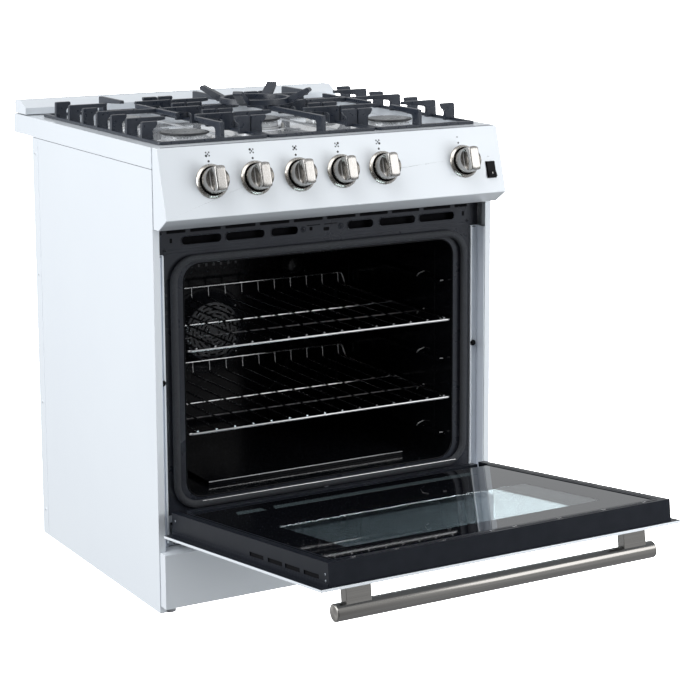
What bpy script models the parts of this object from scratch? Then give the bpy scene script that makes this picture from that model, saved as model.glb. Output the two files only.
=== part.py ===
"""Freestanding gas range, modelled with its oven door let down.

Metres, +Z up. Inside the assembly X runs to the right, the front of the side
panels is y = 0 and the room side is -Y. The door is drawn shut under an empty
on its hinge axis, and that empty is then turned to the open angle.
"""
import math

import bmesh
import bpy
from mathutils import Matrix, Vector

for old in list(bpy.data.objects):
    bpy.data.objects.remove(old, do_unlink=True)

# ---------------------------------------------------------------- driving sizes
SHEET = 0.0015            # every folded steel sheet
GAP = 0.0004              # clearance between neighbouring pieces

HALF_WIDTH = 0.381        # a 30 inch range
SIDE_DEPTH = 0.610        # side panel, front edge to back edge
SIDE_BOTTOM = 0.004
SIDE_TOP = 0.873
PAN_BOTTOM = 0.012
PAN_TOP = 0.034
FLANGE_INNER = 0.3675     # inner edge of the side panel's front flange

COOKTOP_FRONT = 0.0
COOKTOP_BACK = 0.714
COOKTOP_BOTTOM = SIDE_TOP + 0.001
COOKTOP_TOP = 0.915
DECK_TOP = 0.899          # sunk deck that the burners stand on
WELL_HALF_WIDTH = 0.352
WELL_FRONT = 0.028
WELL_BACK = 0.606

PANEL_HALF_WIDTH = 0.3795
PANEL_TOP_FRONT = (-0.021, 0.915)       # control panel profile, (y, z)
PANEL_LOWER_FRONT = (-0.059, 0.783)
PANEL_BOTTOM_BACK = (-0.024, 0.760)
PANEL_BACK = -0.0004
KNOB_X = (-0.275, -0.181, -0.087, 0.007, 0.101, 0.289)
KNOB_DROP = 0.069         # knob centres below the panel's top edge, along its face
KNOB_RADIUS = 0.0255
STEM_RADIUS = 0.004
KNOB_LIFT = 0.0055        # room under a knob, which goes 3 mm in when pressed
KNOB_FACE = 0.026
GRIP_TOP = 0.043
GRIP_HALF_WIDTH = 0.011
ROCKER_X = 0.350
ROCKER_DROP = 0.090
ROCKER_TILT = math.radians(6)            # its lower half is out until it is pressed

FRAME_Y = 0.028           # front face of the black front frame
FRAME_TOP = 0.752
FRAME_HALF_WIDTH = 0.3475
FRAME_TOP_HALF_WIDTH = 0.3655
FRAME_SHOULDER = 0.704    # above this the frame is wider
OVEN_HALF_WIDTH = 0.308
OVEN_BOTTOM = 0.214
OVEN_TOP = 0.684
OVEN_BACK = 0.520
MOUTH_RADIUS = 0.035
FAN_X = -0.016
FAN_Z = 0.430
FAN_FLAT_RADIUS = 0.066   # flat front of the fan cover
FAN_COVER_RADIUS = 0.086
FAN_COVER_DEPTH = 0.030
RACK_LEVELS = (0.262, 0.342, 0.422, 0.507, 0.588)   # top of each pair of ledges
LEDGE_DEPTH = 0.014

KICK_FRONT = -0.0235
KICK_BOTTOM = 0.0185
KICK_TOP = 0.127

PIVOT_Y = -0.042          # the door's hinge axis
PIVOT_Z = 0.151
OPEN_ANGLE = math.radians(82.96)
DOOR_BACK_Y = -0.024      # shut: back of the outer panel
DOOR_BOTTOM = 0.130
DOOR_TOP = 0.759
DOOR_HALF_WIDTH = 0.379
DOOR_SKIN = 0.005
CORE_HALF_WIDTH = 0.360
CORE_BOTTOM = 0.132
CORE_TOP = 0.754
CORE_INNER_Y = 0.018      # shut: face of the door core towards the oven
WINDOW_HALF_WIDTH = 0.313  # outer glass
WINDOW_BOTTOM = 0.200
WINDOW_TOP = 0.680
HANDLE_Y = -0.0765
HANDLE_Z = 0.721
HANDLE_RADIUS = 0.016
HANDLE_HALF_LENGTH = 0.338
POST_X = 0.292
POST_WIDTH = 0.050
POST_DEPTH = 0.020
ARM_X = 0.336
ARM_HALF_THICKNESS = 0.005

BURNERS = {               # name: (x, y, cap radius)
    "front_left": (-0.235, 0.165, 0.050),
    "back_left": (-0.235, 0.465, 0.040),
    "centre": (0.0, 0.315, 0.052),
    "front_right": (0.235, 0.165, 0.048),
    "back_right": (0.235, 0.465, 0.036),
}
CAP_TOP = 0.9215
CAP_BOTTOM = 0.9135

GRATE_X = (-0.356, -0.1215, 0.1215, 0.356)          # edges shared by the three grates
GRATE_FRONT = 0.020
GRATE_BACK = 0.612
RAIL_BOTTOM = COOKTOP_TOP + GAP
RAIL_TOP = 0.9245
RAIL_WIDTH = 0.010
GRATE_TOP = 0.952
BAR = 0.009               # thickness of grate bars and fingers
FINGER_LEG = 0.024
SHORT_FINGER = 0.034
LONG_FINGER = 0.084
END_FINGER = 0.117        # at the front and back rails
FINGER_Y = [0.103 + 0.0727 * step for step in range(7)]
GRATE_MIDDLE = {"grate_left": -0.222, "grate_centre": 0.0, "grate_right": 0.222}
WOK_RING_RADIUS = 0.070
WOK_TIP_RADIUS = 0.120
WOK_ARM_HALF_WIDTH = 0.010
WOK_TIP_TOP = 0.986

RACK_HALF_WIDTH = 0.303
RACK_FRONT = 0.0225
RACK_BACK = 0.480
RACK_RAIL = 0.006
RACK_WIRE = 0.004
RACK_STOP = 0.030         # height of the stop at the back
RACKS_ON = {"rack_upper": RACK_LEVELS[3], "rack_lower": RACK_LEVELS[1]}
RACK_WIRES = 15
WIRE_PITCH = 0.0404

# The assembly is moved so that its open bounding box is centred on Y = 0.
door_reach = DOOR_TOP - PIVOT_Z
skin_offset = DOOR_BACK_Y - DOOR_SKIN - PIVOT_Y
OPEN_FRONT = PIVOT_Y + skin_offset * math.cos(OPEN_ANGLE) - door_reach * math.sin(OPEN_ANGLE)
CENTRE_SHIFT = -(OPEN_FRONT + COOKTOP_BACK) / 2

# The control panel's face: its own Y runs up the face and its Z out of it.
PANEL_SLOPE = math.atan2(PANEL_TOP_FRONT[1] - PANEL_LOWER_FRONT[1],
                         PANEL_TOP_FRONT[0] - PANEL_LOWER_FRONT[0])
ON_PANEL_FACE = Matrix.Translation((0, *PANEL_TOP_FRONT)) @ Matrix.Rotation(PANEL_SLOPE, 4, "X")

# ---------------------------------------------------------------- scene and materials
scene = bpy.context.scene
range_parts = bpy.data.collections.new("gas_range")
scene.collection.children.link(range_parts)


def material(name, colour, roughness, metallic=0.0, alpha=1.0):
    made = bpy.data.materials.new(name)
    made.use_nodes = True
    shader = made.node_tree.nodes["Principled BSDF"]
    shader.inputs["Base Color"].default_value = (*colour, 1.0)
    shader.inputs["Roughness"].default_value = roughness
    shader.inputs["Metallic"].default_value = metallic
    shader.inputs["Alpha"].default_value = alpha
    return made


WHITE = material("white_enamel", (0.85, 0.86, 0.87), 0.25)
BLACK = material("black_enamel", (0.012, 0.012, 0.014), 0.25)
GALVANISED = material("galvanised_steel", (0.55, 0.57, 0.58), 0.4, 0.9)
STAINLESS = material("brushed_stainless", (0.6, 0.59, 0.57), 0.3, 1.0)
CHROME = material("chromed_wire", (0.75, 0.75, 0.75), 0.15, 1.0)
CAST_IRON = material("cast_iron", (0.02, 0.02, 0.02), 0.6)
ALUMINIUM = material("cast_aluminium", (0.65, 0.65, 0.64), 0.4, 0.9)
GLASS = material("oven_glass", (0.05, 0.05, 0.05), 0.05, 0.0, 0.4)
ROPE = material("gasket_braid", (0.12, 0.12, 0.12), 0.9)
PLASTIC = material("black_plastic", (0.02, 0.02, 0.02), 0.4)
BRASS = material("brass", (0.6, 0.45, 0.2), 0.35, 1.0)


def empty(name, location, parent=None, rotation_x=0.0):
    made = bpy.data.objects.new(name, None)
    made.location = location
    made.rotation_euler.x = rotation_x
    made.parent = parent
    range_parts.objects.link(made)
    return made


assembly = empty("assembly", (0, CENTRE_SHIFT, 0))
door_hinge = empty("door_hinge", (0, PIVOT_Y, PIVOT_Z), assembly)
panel_face = empty("panel_face", (0, *PANEL_TOP_FRONT), assembly, PANEL_SLOPE)

# ---------------------------------------------------------------- shape helpers


def mesh_object(name, mesh):
    made = bpy.data.objects.new(name, mesh)
    range_parts.objects.link(made)
    return made


def box(low, high, name="piece"):
    """A cuboid between two corners."""
    low, high = Vector(low), Vector(high)
    shape = bmesh.new()
    bmesh.ops.create_cube(shape, size=1.0)
    bmesh.ops.scale(shape, vec=high - low, verts=shape.verts)
    bmesh.ops.translate(shape, vec=(low + high) / 2, verts=shape.verts)
    mesh = bpy.data.meshes.new(name)
    shape.to_mesh(mesh)
    shape.free()
    return mesh_object(name, mesh)


def rod(start, end, radius, segments=16, end_radius=None, name="piece"):
    """A cylinder or cone from start to end."""
    start, end = Vector(start), Vector(end)
    along = end - start
    shape = bmesh.new()
    bmesh.ops.create_cone(shape, cap_ends=True, segments=segments, radius1=radius,
                          radius2=radius if end_radius is None else end_radius,
                          depth=along.length)
    turn = Vector((0, 0, 1)).rotation_difference(along.normalized()).to_matrix().to_4x4()
    bmesh.ops.transform(shape, matrix=Matrix.Translation((start + end) / 2) @ turn,
                        verts=shape.verts)
    mesh = bpy.data.meshes.new(name)
    shape.to_mesh(mesh)
    shape.free()
    return mesh_object(name, mesh)


def flattened(source):
    """Turn an object with modifiers, or a curve, into a plain welded mesh."""
    bpy.context.view_layer.update()
    depsgraph = bpy.context.evaluated_depsgraph_get()
    mesh = bpy.data.meshes.new_from_object(source.evaluated_get(depsgraph))
    shape = bmesh.new()
    shape.from_mesh(mesh)
    bmesh.ops.remove_doubles(shape, verts=shape.verts, dist=0.00002)
    bmesh.ops.recalc_face_normals(shape, faces=shape.faces)
    shape.to_mesh(mesh)
    shape.free()
    name = source.name
    bpy.data.objects.remove(source, do_unlink=True)
    return mesh_object(name, mesh)


def rounded_rectangle(low, high, radius, steps=4):
    """Corner points of a rectangle whose corners are arcs."""
    centres = ((high[0] - radius, high[1] - radius, 0), (low[0] + radius, high[1] - radius, 90),
               (low[0] + radius, low[1] + radius, 180), (high[0] - radius, low[1] + radius, 270))
    points = []
    for x, y, start in centres:
        for step in range(steps + 1):
            angle = math.radians(start + 90 * step / steps)
            points.append((x + radius * math.cos(angle), y + radius * math.sin(angle)))
    return points


def rectangle(low, high):
    return [low, (high[0], low[1]), high, (low[0], high[1])]


FACE_TURNS = {            # where a flat outline's (u, v) and its thickness point
    "z": Matrix.Identity(4),
    "y": Matrix.Rotation(math.radians(90), 4, "X"),
    "x": Matrix(((0, 0, 1, 0), (1, 0, 0, 0), (0, 1, 0, 0), (0, 0, 0, 1))),
}


def plate(outlines, low, high, axis="z", name="piece"):
    """A flat outline, with holes, extruded from low to high along an axis."""
    curve = bpy.data.curves.new(name, "CURVE")
    curve.dimensions = "2D"
    curve.fill_mode = "BOTH"
    curve.extrude = (high - low) / 2
    for outline in outlines:
        spline = curve.splines.new("POLY")
        spline.points.add(len(outline) - 1)
        for point, (u, v) in zip(spline.points, outline):
            point.co = (u, v, 0, 1)
        spline.use_cyclic_u = True
    source = bpy.data.objects.new(name, curve)
    range_parts.objects.link(source)
    solid = flattened(source)
    middle = (low + high) / 2
    shift = Vector((0, middle, 0)) if axis == "y" else FACE_TURNS[axis] @ Vector((0, 0, middle))
    solid.data.transform(Matrix.Translation(shift) @ FACE_TURNS[axis])
    return solid


def tube(points, radius, cyclic=False, sides=2, name="piece"):
    """A round bar along straight runs."""
    curve = bpy.data.curves.new(name, "CURVE")
    curve.dimensions = "3D"
    curve.bevel_depth = radius
    curve.bevel_resolution = sides
    curve.use_fill_caps = True
    spline = curve.splines.new("POLY")
    spline.points.add(len(points) - 1)
    for point, place in zip(spline.points, points):
        point.co = (*place, 1)
    spline.use_cyclic_u = cyclic
    source = bpy.data.objects.new(name, curve)
    range_parts.objects.link(source)
    return flattened(source)


def turned(profile, segments=32, name="piece"):
    """A closed (radius, height) profile swept round the Z axis."""
    shape = bmesh.new()
    verts = [shape.verts.new((radius, 0, height)) for radius, height in profile]
    for first, second in zip(verts, verts[1:] + verts[:1]):
        shape.edges.new((first, second))
    mesh = bpy.data.meshes.new(name)
    shape.to_mesh(mesh)
    shape.free()
    source = mesh_object(name, mesh)
    screw = source.modifiers.new("turn", "SCREW")
    screw.steps = segments
    screw.render_steps = segments
    screw.use_merge_vertices = True
    screw.merge_threshold = 0.00002
    return flattened(source)


def combine(target, others, operation):
    """Join or cut a list of solids into target, then drop them."""
    helpers = bpy.data.collections.new("helpers")
    scene.collection.children.link(helpers)
    for other in others:
        range_parts.objects.unlink(other)
        helpers.objects.link(other)
    boolean = target.modifiers.new("boolean", "BOOLEAN")
    boolean.operation = operation
    boolean.solver = "EXACT"
    boolean.operand_type = "COLLECTION"
    boolean.collection = helpers
    result = flattened(target)
    for other in others:
        bpy.data.objects.remove(other, do_unlink=True)
    bpy.data.collections.remove(helpers)
    return result


def joined(solids):
    return combine(solids[0], solids[1:], "UNION")


def cut(target, *cutters):
    return combine(target, list(cutters), "DIFFERENCE")


def node(name, solid, finish, parent=assembly, origin=(0, 0, 0)):
    """Name a solid, give it its material and put its origin where it turns or stands."""
    solid.name = name
    solid.data.name = name
    solid.data.materials.clear()
    solid.data.materials.append(finish)
    solid.data.transform(Matrix.Translation(-Vector(origin)))
    solid.location = origin
    solid.parent = parent
    return solid


def mirrored(outline):
    return [(-u, v) for u, v in reversed(outline)]


# ---------------------------------------------------------------- body


def make_side_panels():
    outline = [(HALF_WIDTH, 0), (HALF_WIDTH, SIDE_DEPTH), (FLANGE_INNER, SIDE_DEPTH),
               (FLANGE_INNER, SIDE_DEPTH - SHEET), (HALF_WIDTH - SHEET, SIDE_DEPTH - SHEET),
               (HALF_WIDTH - SHEET, SHEET), (FLANGE_INNER, SHEET), (FLANGE_INNER, 0)]
    for name, shape in (("side_panel_right", outline), ("side_panel_left", mirrored(outline))):
        node(name, plate([shape], SIDE_BOTTOM, SIDE_TOP), WHITE)


def make_back_panel():
    back = box((-FLANGE_INNER + GAP, SIDE_DEPTH - SHEET, 0.040),
               (FLANGE_INNER - GAP, SIDE_DEPTH, SIDE_TOP))
    gas_hole = rod((-0.28, SIDE_DEPTH - 0.01, 0.09), (-0.28, SIDE_DEPTH + 0.01, 0.09), 0.016)
    node("back_panel", cut(back, gas_hole), GALVANISED)


def make_base_pan():
    half, front, back = FLANGE_INNER - 0.0015, 0.0025, SIDE_DEPTH - 0.004
    pan = box((-half, front, PAN_BOTTOM), (half, back, PAN_TOP))
    hollow = box((-half + SHEET, front + SHEET, PAN_BOTTOM - 0.01),
                 (half - SHEET, back - SHEET, PAN_TOP - SHEET))
    node("base_pan", cut(pan, hollow), GALVANISED)


def make_legs():
    pad_top = 0.008
    for name, x, y in (("leg_front_left", -0.352, 0.018), ("leg_front_right", 0.352, 0.018),
                       ("leg_back_left", -0.352, 0.560), ("leg_back_right", 0.352, 0.560)):
        leg = joined([rod((x, y, 0), (x, y, pad_top), 0.012, 12),
                      rod((x, y, pad_top - 0.001), (x, y, PAN_TOP - SHEET - GAP), 0.004, 8)])
        node(name, leg, PLASTIC, origin=(x, y, 0))


def make_kick_panel():
    shell = box((-DOOR_HALF_WIDTH, KICK_FRONT, KICK_BOTTOM), (DOOR_HALF_WIDTH, -GAP, KICK_TOP))
    top_flange = box((-0.365, -0.004, KICK_TOP - SHEET), (0.365, FRAME_Y - GAP, KICK_TOP))
    shell = joined([shell, top_flange])
    hollow = box((-DOOR_HALF_WIDTH + SHEET, KICK_FRONT + SHEET, KICK_BOTTOM + SHEET),
                 (DOOR_HALF_WIDTH - SHEET, 0.01, KICK_TOP - SHEET))
    node("kick_panel", cut(shell, hollow), WHITE)


def make_front_frame():
    outline = [(-FRAME_HALF_WIDTH, 0.036), (FRAME_HALF_WIDTH, 0.036),
               (FRAME_HALF_WIDTH, FRAME_SHOULDER), (FRAME_TOP_HALF_WIDTH, FRAME_SHOULDER),
               (FRAME_TOP_HALF_WIDTH, FRAME_TOP), (-FRAME_TOP_HALF_WIDTH, FRAME_TOP),
               (-FRAME_TOP_HALF_WIDTH, FRAME_SHOULDER), (-FRAME_HALF_WIDTH, FRAME_SHOULDER)]
    mouth = rounded_rectangle((-OVEN_HALF_WIDTH + 0.002, OVEN_BOTTOM + 0.003),
                              (OVEN_HALF_WIDTH - 0.002, OVEN_TOP - 0.003), MOUTH_RADIUS)
    slots = []
    for inner, outer in ((0.056, 0.116), (0.130, 0.215), (0.224, 0.309)):
        slot = rounded_rectangle((inner, 0.7195), (outer, 0.7365), 0.006, 2)
        slots += [slot, mirrored(slot)]
    arm_slot = rectangle((ARM_X - 0.009, 0.137), (ARM_X + 0.009, 0.174))
    node("front_frame", plate([outline, mouth, arm_slot, mirrored(arm_slot), *slots],
                              FRAME_Y, FRAME_Y + SHEET, "y"), BLACK)


def make_column_trims():
    edge, wall = FRAME_HALF_WIDTH + GAP, FLANGE_INNER - GAP
    outline = [(edge, FRAME_Y), (wall - SHEET, FRAME_Y), (wall - SHEET, SHEET), (wall, SHEET),
               (wall, FRAME_Y + SHEET), (edge, FRAME_Y + SHEET)]
    for name, shape in (("column_trim_right", outline), ("column_trim_left", mirrored(outline))):
        node(name, plate([shape], KICK_TOP + GAP, FRAME_SHOULDER - GAP), GALVANISED)


# ---------------------------------------------------------------- oven


def make_oven_cavity():
    front, back = FRAME_Y + SHEET + GAP, OVEN_BACK + SHEET
    shell = box((-OVEN_HALF_WIDTH - SHEET, front, OVEN_BOTTOM - SHEET),
                (OVEN_HALF_WIDTH + SHEET, back, OVEN_TOP + SHEET))
    space = box((-OVEN_HALF_WIDTH, front - 0.01, OVEN_BOTTOM),
                (OVEN_HALF_WIDTH, OVEN_BACK, OVEN_TOP))
    shaft_hole = rod((FAN_X, OVEN_BACK - 0.01, FAN_Z), (FAN_X, back + 0.01, FAN_Z), 0.008)
    shell = cut(shell, space, shaft_hole)
    ledges = []
    for level in RACK_LEVELS:
        for side in (-1, 1):
            inner = side * (OVEN_HALF_WIDTH - LEDGE_DEPTH)
            outer = side * (OVEN_HALF_WIDTH + SHEET / 2)
            ledges.append(box((min(inner, outer), 0.060, level - 0.008),
                              (max(inner, outer), 0.490, level)))
    node("oven_cavity", joined([shell, *ledges]), BLACK)


def make_door_gasket():
    outer = rounded_rectangle((-0.337, 0.198), (0.337, 0.700), 0.052, 5)
    inner = rounded_rectangle((-0.322, 0.213), (0.322, 0.685), 0.037, 5)
    node("door_gasket", plate([outer, inner], CORE_INNER_Y + GAP, FRAME_Y - GAP, "y"), ROPE)


def make_oven_floor_panel():
    half, front, back, top = 0.226, 0.097, 0.480, 0.222
    outline = [(front, top), (front, OVEN_BOTTOM + GAP), (front + SHEET, OVEN_BOTTOM + GAP),
               (front + SHEET, top - SHEET), (back - SHEET, top - SHEET),
               (back - SHEET, OVEN_BOTTOM + GAP), (back, OVEN_BOTTOM + GAP), (back, top)]
    node("oven_floor_panel", plate([outline], -half, half, "x"), BLACK)


def upright(solid):
    """Turn a solid of revolution from the Z axis to point forward, along -Y."""
    solid.data.transform(Matrix.Rotation(math.radians(90), 4, "X"))
    return solid


def make_oven_fan():
    centre = (FAN_X, OVEN_BACK, FAN_Z)
    inner_depth = FAN_COVER_DEPTH - SHEET
    cover = turned([(0.014, FAN_COVER_DEPTH), (FAN_FLAT_RADIUS, FAN_COVER_DEPTH),
                    (FAN_COVER_RADIUS, GAP), (FAN_COVER_RADIUS - SHEET, GAP),
                    (FAN_FLAT_RADIUS - 0.0008, inner_depth), (0.014, inner_depth)], 32)
    slots = []
    for number in range(12):
        slot = box((0.024, -0.004, 0.02), (0.060, 0.004, 0.05))
        slot.data.transform(Matrix.Rotation(math.radians(30 * number + 15), 4, "Z"))
        slots.append(slot)
    cover = upright(cut(cover, *slots))
    cover.data.transform(Matrix.Translation(centre))
    node("fan_cover", cover, BLACK)

    pieces = [rod((0, 0, -0.030), (0, 0, 0.026), 0.004, 10), rod((0, 0, 0.009), (0, 0, 0.022), 0.012)]
    for number in range(6):
        blade = box((0.010, -0.001, 0.007), (0.058, 0.001, 0.024))
        blade.data.transform(Matrix.Rotation(math.radians(60 * number), 4, "Z"))
        pieces.append(blade)
    fan = upright(joined(pieces))
    fan.data.transform(Matrix.Translation(centre))
    node("fan_blade", fan, GALVANISED, origin=centre)


def make_oven_burners():
    level, half = 0.655, 0.16
    broil = tube([(-half, 0.512, level), (-half, 0.140, level), (half, 0.140, level),
                  (half, 0.512, level)], 0.009)
    node("broil_burner", broil, GALVANISED)
    level = 0.180
    bake = tube([(-half, 0.500, level), (-half, 0.120, level), (half, 0.120, level),
                 (half, 0.500, level)], 0.012)
    node("bake_burner", bake, GALVANISED)


def make_oven_lamp():
    centre = (0.190, OVEN_BACK, 0.560)
    lens = upright(turned([(0.0005, GAP), (0.030, GAP), (0.030, 0.010), (0.018, 0.022),
                           (0.0005, 0.024)], 20))
    lens.data.transform(Matrix.Translation(centre))
    node("oven_lamp", lens, GLASS)


def make_racks():
    wire, rail = RACK_WIRE, RACK_RAIL
    for name, level in RACKS_ON.items():
        bottom = level + GAP
        top = bottom + rail
        bars = [plate([rectangle((-RACK_HALF_WIDTH, RACK_FRONT), (RACK_HALF_WIDTH, RACK_BACK)),
                       rectangle((-RACK_HALF_WIDTH + rail, RACK_FRONT + rail),
                                 (RACK_HALF_WIDTH - rail, RACK_BACK - rail))], bottom, top)]
        for number in range(RACK_WIRES):
            x = (number - (RACK_WIRES - 1) / 2) * WIRE_PITCH
            bars.append(box((x - wire / 2, RACK_FRONT + 0.001, top - 0.0005),
                            (x + wire / 2, RACK_BACK - 0.001, top + wire - 0.0005)))
        for y in (0.140, 0.248, 0.370):
            bars.append(box((-RACK_HALF_WIDTH + rail / 2, y, bottom + 0.0005),
                            (RACK_HALF_WIDTH - rail / 2, y + wire, top - 0.0003)))
        backstop = RACK_HALF_WIDTH - 0.015
        bars.append(box((-backstop, RACK_BACK - rail, top - 0.002),
                        (backstop, RACK_BACK - 0.0015, top + RACK_STOP)))
        node(name, joined(bars), CHROME)


# ---------------------------------------------------------------- cooktop


def make_cooktop():
    slab = box((-HALF_WIDTH, COOKTOP_FRONT, COOKTOP_BOTTOM), (HALF_WIDTH, COOKTOP_BACK, COOKTOP_TOP))
    well = box((-WELL_HALF_WIDTH, WELL_FRONT, DECK_TOP), (WELL_HALF_WIDTH, WELL_BACK, 1.0))
    underside = box((-HALF_WIDTH + SHEET, COOKTOP_FRONT + SHEET, 0.8),
                    (HALF_WIDTH - SHEET, COOKTOP_BACK - SHEET, DECK_TOP - SHEET))
    rim_space = plate([rectangle((-HALF_WIDTH + SHEET, COOKTOP_FRONT + SHEET),
                                 (HALF_WIDTH - SHEET, COOKTOP_BACK - SHEET)),
                       rectangle((-WELL_HALF_WIDTH - SHEET, WELL_FRONT - SHEET),
                                 (WELL_HALF_WIDTH + SHEET, WELL_BACK + SHEET))],
                      DECK_TOP - 0.010, COOKTOP_TOP - SHEET)
    holes = [rod((x, y, 0.85), (x, y, 0.95), 0.019) for x, y, _ in BURNERS.values()]
    top = cut(slab, well, underside)
    top = cut(top, rim_space, *holes)
    node("cooktop", top, WHITE)


def make_vent_trim():
    front, back, low, high = 0.649, 0.712, COOKTOP_TOP + 0.002, 0.945
    outline = [(front, low), (back, low), (back, high - 0.006), (back - 0.006, high),
               (front + 0.030, high), (front, high - 0.014)]
    trim = plate([outline], -0.379, 0.379, "x")
    hollow = box((-0.377, front + SHEET, 0.9), (0.377, back - SHEET, high - 0.016))
    outlet = box((-0.20, front + 0.036, 0.92), (0.20, front + 0.046, 0.96))
    node("rear_vent_trim", cut(trim, hollow, outlet), WHITE)


def make_burners():
    for name, (x, y, radius) in BURNERS.items():
        base = turned([(0.010, 0.884), (0.017, 0.884), (0.017, DECK_TOP + GAP),
                       (radius - 0.004, DECK_TOP + GAP), (radius - 0.004, 0.905),
                       (radius - 0.009, CAP_BOTTOM - GAP), (0.010, CAP_BOTTOM - GAP)], 24)
        base.data.transform(Matrix.Translation((x, y, 0)))
        node("burner_base_" + name, base, ALUMINIUM, origin=(x, y, DECK_TOP))
        cap = turned([(0.0004, CAP_BOTTOM), (radius - 0.001, CAP_BOTTOM), (radius, CAP_BOTTOM + 0.003),
                      (radius - 0.004, CAP_TOP), (0.0004, CAP_TOP)], 24)
        cap.data.transform(Matrix.Translation((x, y, 0)))
        node("burner_cap_" + name, cap, CAST_IRON, origin=(x, y, CAP_BOTTOM))


def finger_outline(reach):
    """Side view of a grate finger: a leg on the rail and a tapered arm, (inward, z)."""
    foot, top = RAIL_BOTTOM + 0.001, GRATE_TOP
    return [(0, foot), (FINGER_LEG, foot), (FINGER_LEG, top - 0.014),
            (FINGER_LEG + 0.004, top - 0.010), (reach, top - 0.006), (reach, top), (0.005, top)]


def grate_finger(x_rail, inward, reach, y):
    """A finger that rises from a side rail."""
    outline = [(x_rail + inward * u, z) for u, z in finger_outline(reach)]
    return plate([outline], y - BAR / 2, y + BAR / 2, "y")


def end_finger(y_rail, inward, reach, x):
    """A finger that rises from the front or back rail."""
    outline = [(y_rail + inward * u, z) for u, z in finger_outline(reach)]
    return plate([outline], x - BAR / 2, x + BAR / 2, "x")


def make_grates():
    for (name, middle), left, right in zip(GRATE_MIDDLE.items(), GRATE_X, GRATE_X[1:]):
        left += 0.0005
        right -= 0.0005
        half = BAR / 2
        parts = [plate([rectangle((left, GRATE_FRONT), (right, GRATE_BACK)),
                        rectangle((left + RAIL_WIDTH, GRATE_FRONT + RAIL_WIDTH),
                                  (right - RAIL_WIDTH, GRATE_BACK - RAIL_WIDTH))],
                       RAIL_BOTTOM, RAIL_TOP)]
        for number, y in enumerate(FINGER_Y):
            reach = LONG_FINGER if number % 2 else SHORT_FINGER
            parts.append(grate_finger(left + 0.0003, 1, reach, y))
            parts.append(grate_finger(right - 0.0003, -1, reach, y))
        low, high = GRATE_TOP - BAR, GRATE_TOP - 0.0004
        if name == "grate_centre":
            end_reach = 0.235          # far enough in to carry the wok ring
        else:
            end_reach = END_FINGER
            cross_y = FINGER_Y[3]
            parts.append(box((left + 0.06, cross_y - half + 0.0006, low),
                             (right - 0.06, cross_y + half - 0.0006, high)))
            parts.append(box((middle - half + 0.0003, cross_y - 0.10, low + 0.0003),
                             (middle + half - 0.0003, cross_y + 0.10, high - 0.0002)))
        parts.append(end_finger(GRATE_FRONT + 0.0003, 1, end_reach, middle))
        parts.append(end_finger(GRATE_BACK - 0.0003, -1, end_reach, middle))
        node(name, joined(parts), CAST_IRON)


def make_wok_ring():
    x, y, _ = BURNERS["centre"]
    low = GRATE_TOP + GAP
    ring = turned([(WOK_RING_RADIUS - 0.005, low), (WOK_RING_RADIUS + 0.005, low),
                   (WOK_RING_RADIUS + 0.005, low + 0.012), (WOK_RING_RADIUS - 0.005, low + 0.012)],
                  32)
    parts = [ring]
    for number in range(4):
        outline = [(WOK_RING_RADIUS - 0.003, low + 0.001), (WOK_RING_RADIUS + 0.012, low + 0.001),
                   (WOK_TIP_RADIUS, WOK_TIP_TOP - 0.006), (WOK_TIP_RADIUS - 0.006, WOK_TIP_TOP),
                   (WOK_RING_RADIUS - 0.003, low + 0.010)]
        blade = plate([outline], -WOK_ARM_HALF_WIDTH, WOK_ARM_HALF_WIDTH, "y")
        blade.data.transform(Matrix.Rotation(math.radians(45 + 90 * number), 4, "Z"))
        parts.append(blade)
    ring = joined(parts)
    ring.data.transform(Matrix.Translation((x, y, 0)))
    node("wok_ring", ring, CAST_IRON, origin=(x, y, low))


# ---------------------------------------------------------------- control panel


def make_control_panel():
    back, top = PANEL_BACK, COOKTOP_TOP
    profile = [(back, top), PANEL_TOP_FRONT, PANEL_LOWER_FRONT, PANEL_BOTTOM_BACK,
               (back, PANEL_BOTTOM_BACK[1])]
    hollow = [(back + 0.01, top - SHEET), (PANEL_TOP_FRONT[0] + 0.001, top - SHEET),
              (PANEL_LOWER_FRONT[0] + 0.0018, PANEL_LOWER_FRONT[1] + 0.0004),
              (PANEL_BOTTOM_BACK[0] + 0.0006, PANEL_BOTTOM_BACK[1] + SHEET),
              (back + 0.01, PANEL_BOTTOM_BACK[1] + SHEET)]
    panel = plate([profile], -PANEL_HALF_WIDTH, PANEL_HALF_WIDTH, "x")
    inside = plate([hollow], -PANEL_HALF_WIDTH + SHEET, PANEL_HALF_WIDTH - SHEET, "x")
    cutters = [inside]
    for x in KNOB_X:
        hole = rod((x, -KNOB_DROP, -0.02), (x, -KNOB_DROP, 0.02), STEM_RADIUS + 0.0015)
        hole.data.transform(ON_PANEL_FACE)
        cutters.append(hole)
    opening = box((ROCKER_X - 0.0103, -ROCKER_DROP - 0.0164, -0.02),
                  (ROCKER_X + 0.0103, -ROCKER_DROP + 0.0164, 0.02))
    opening.data.transform(ON_PANEL_FACE)
    cutters.append(opening)
    node("control_panel", cut(panel, *cutters), WHITE)


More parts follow.
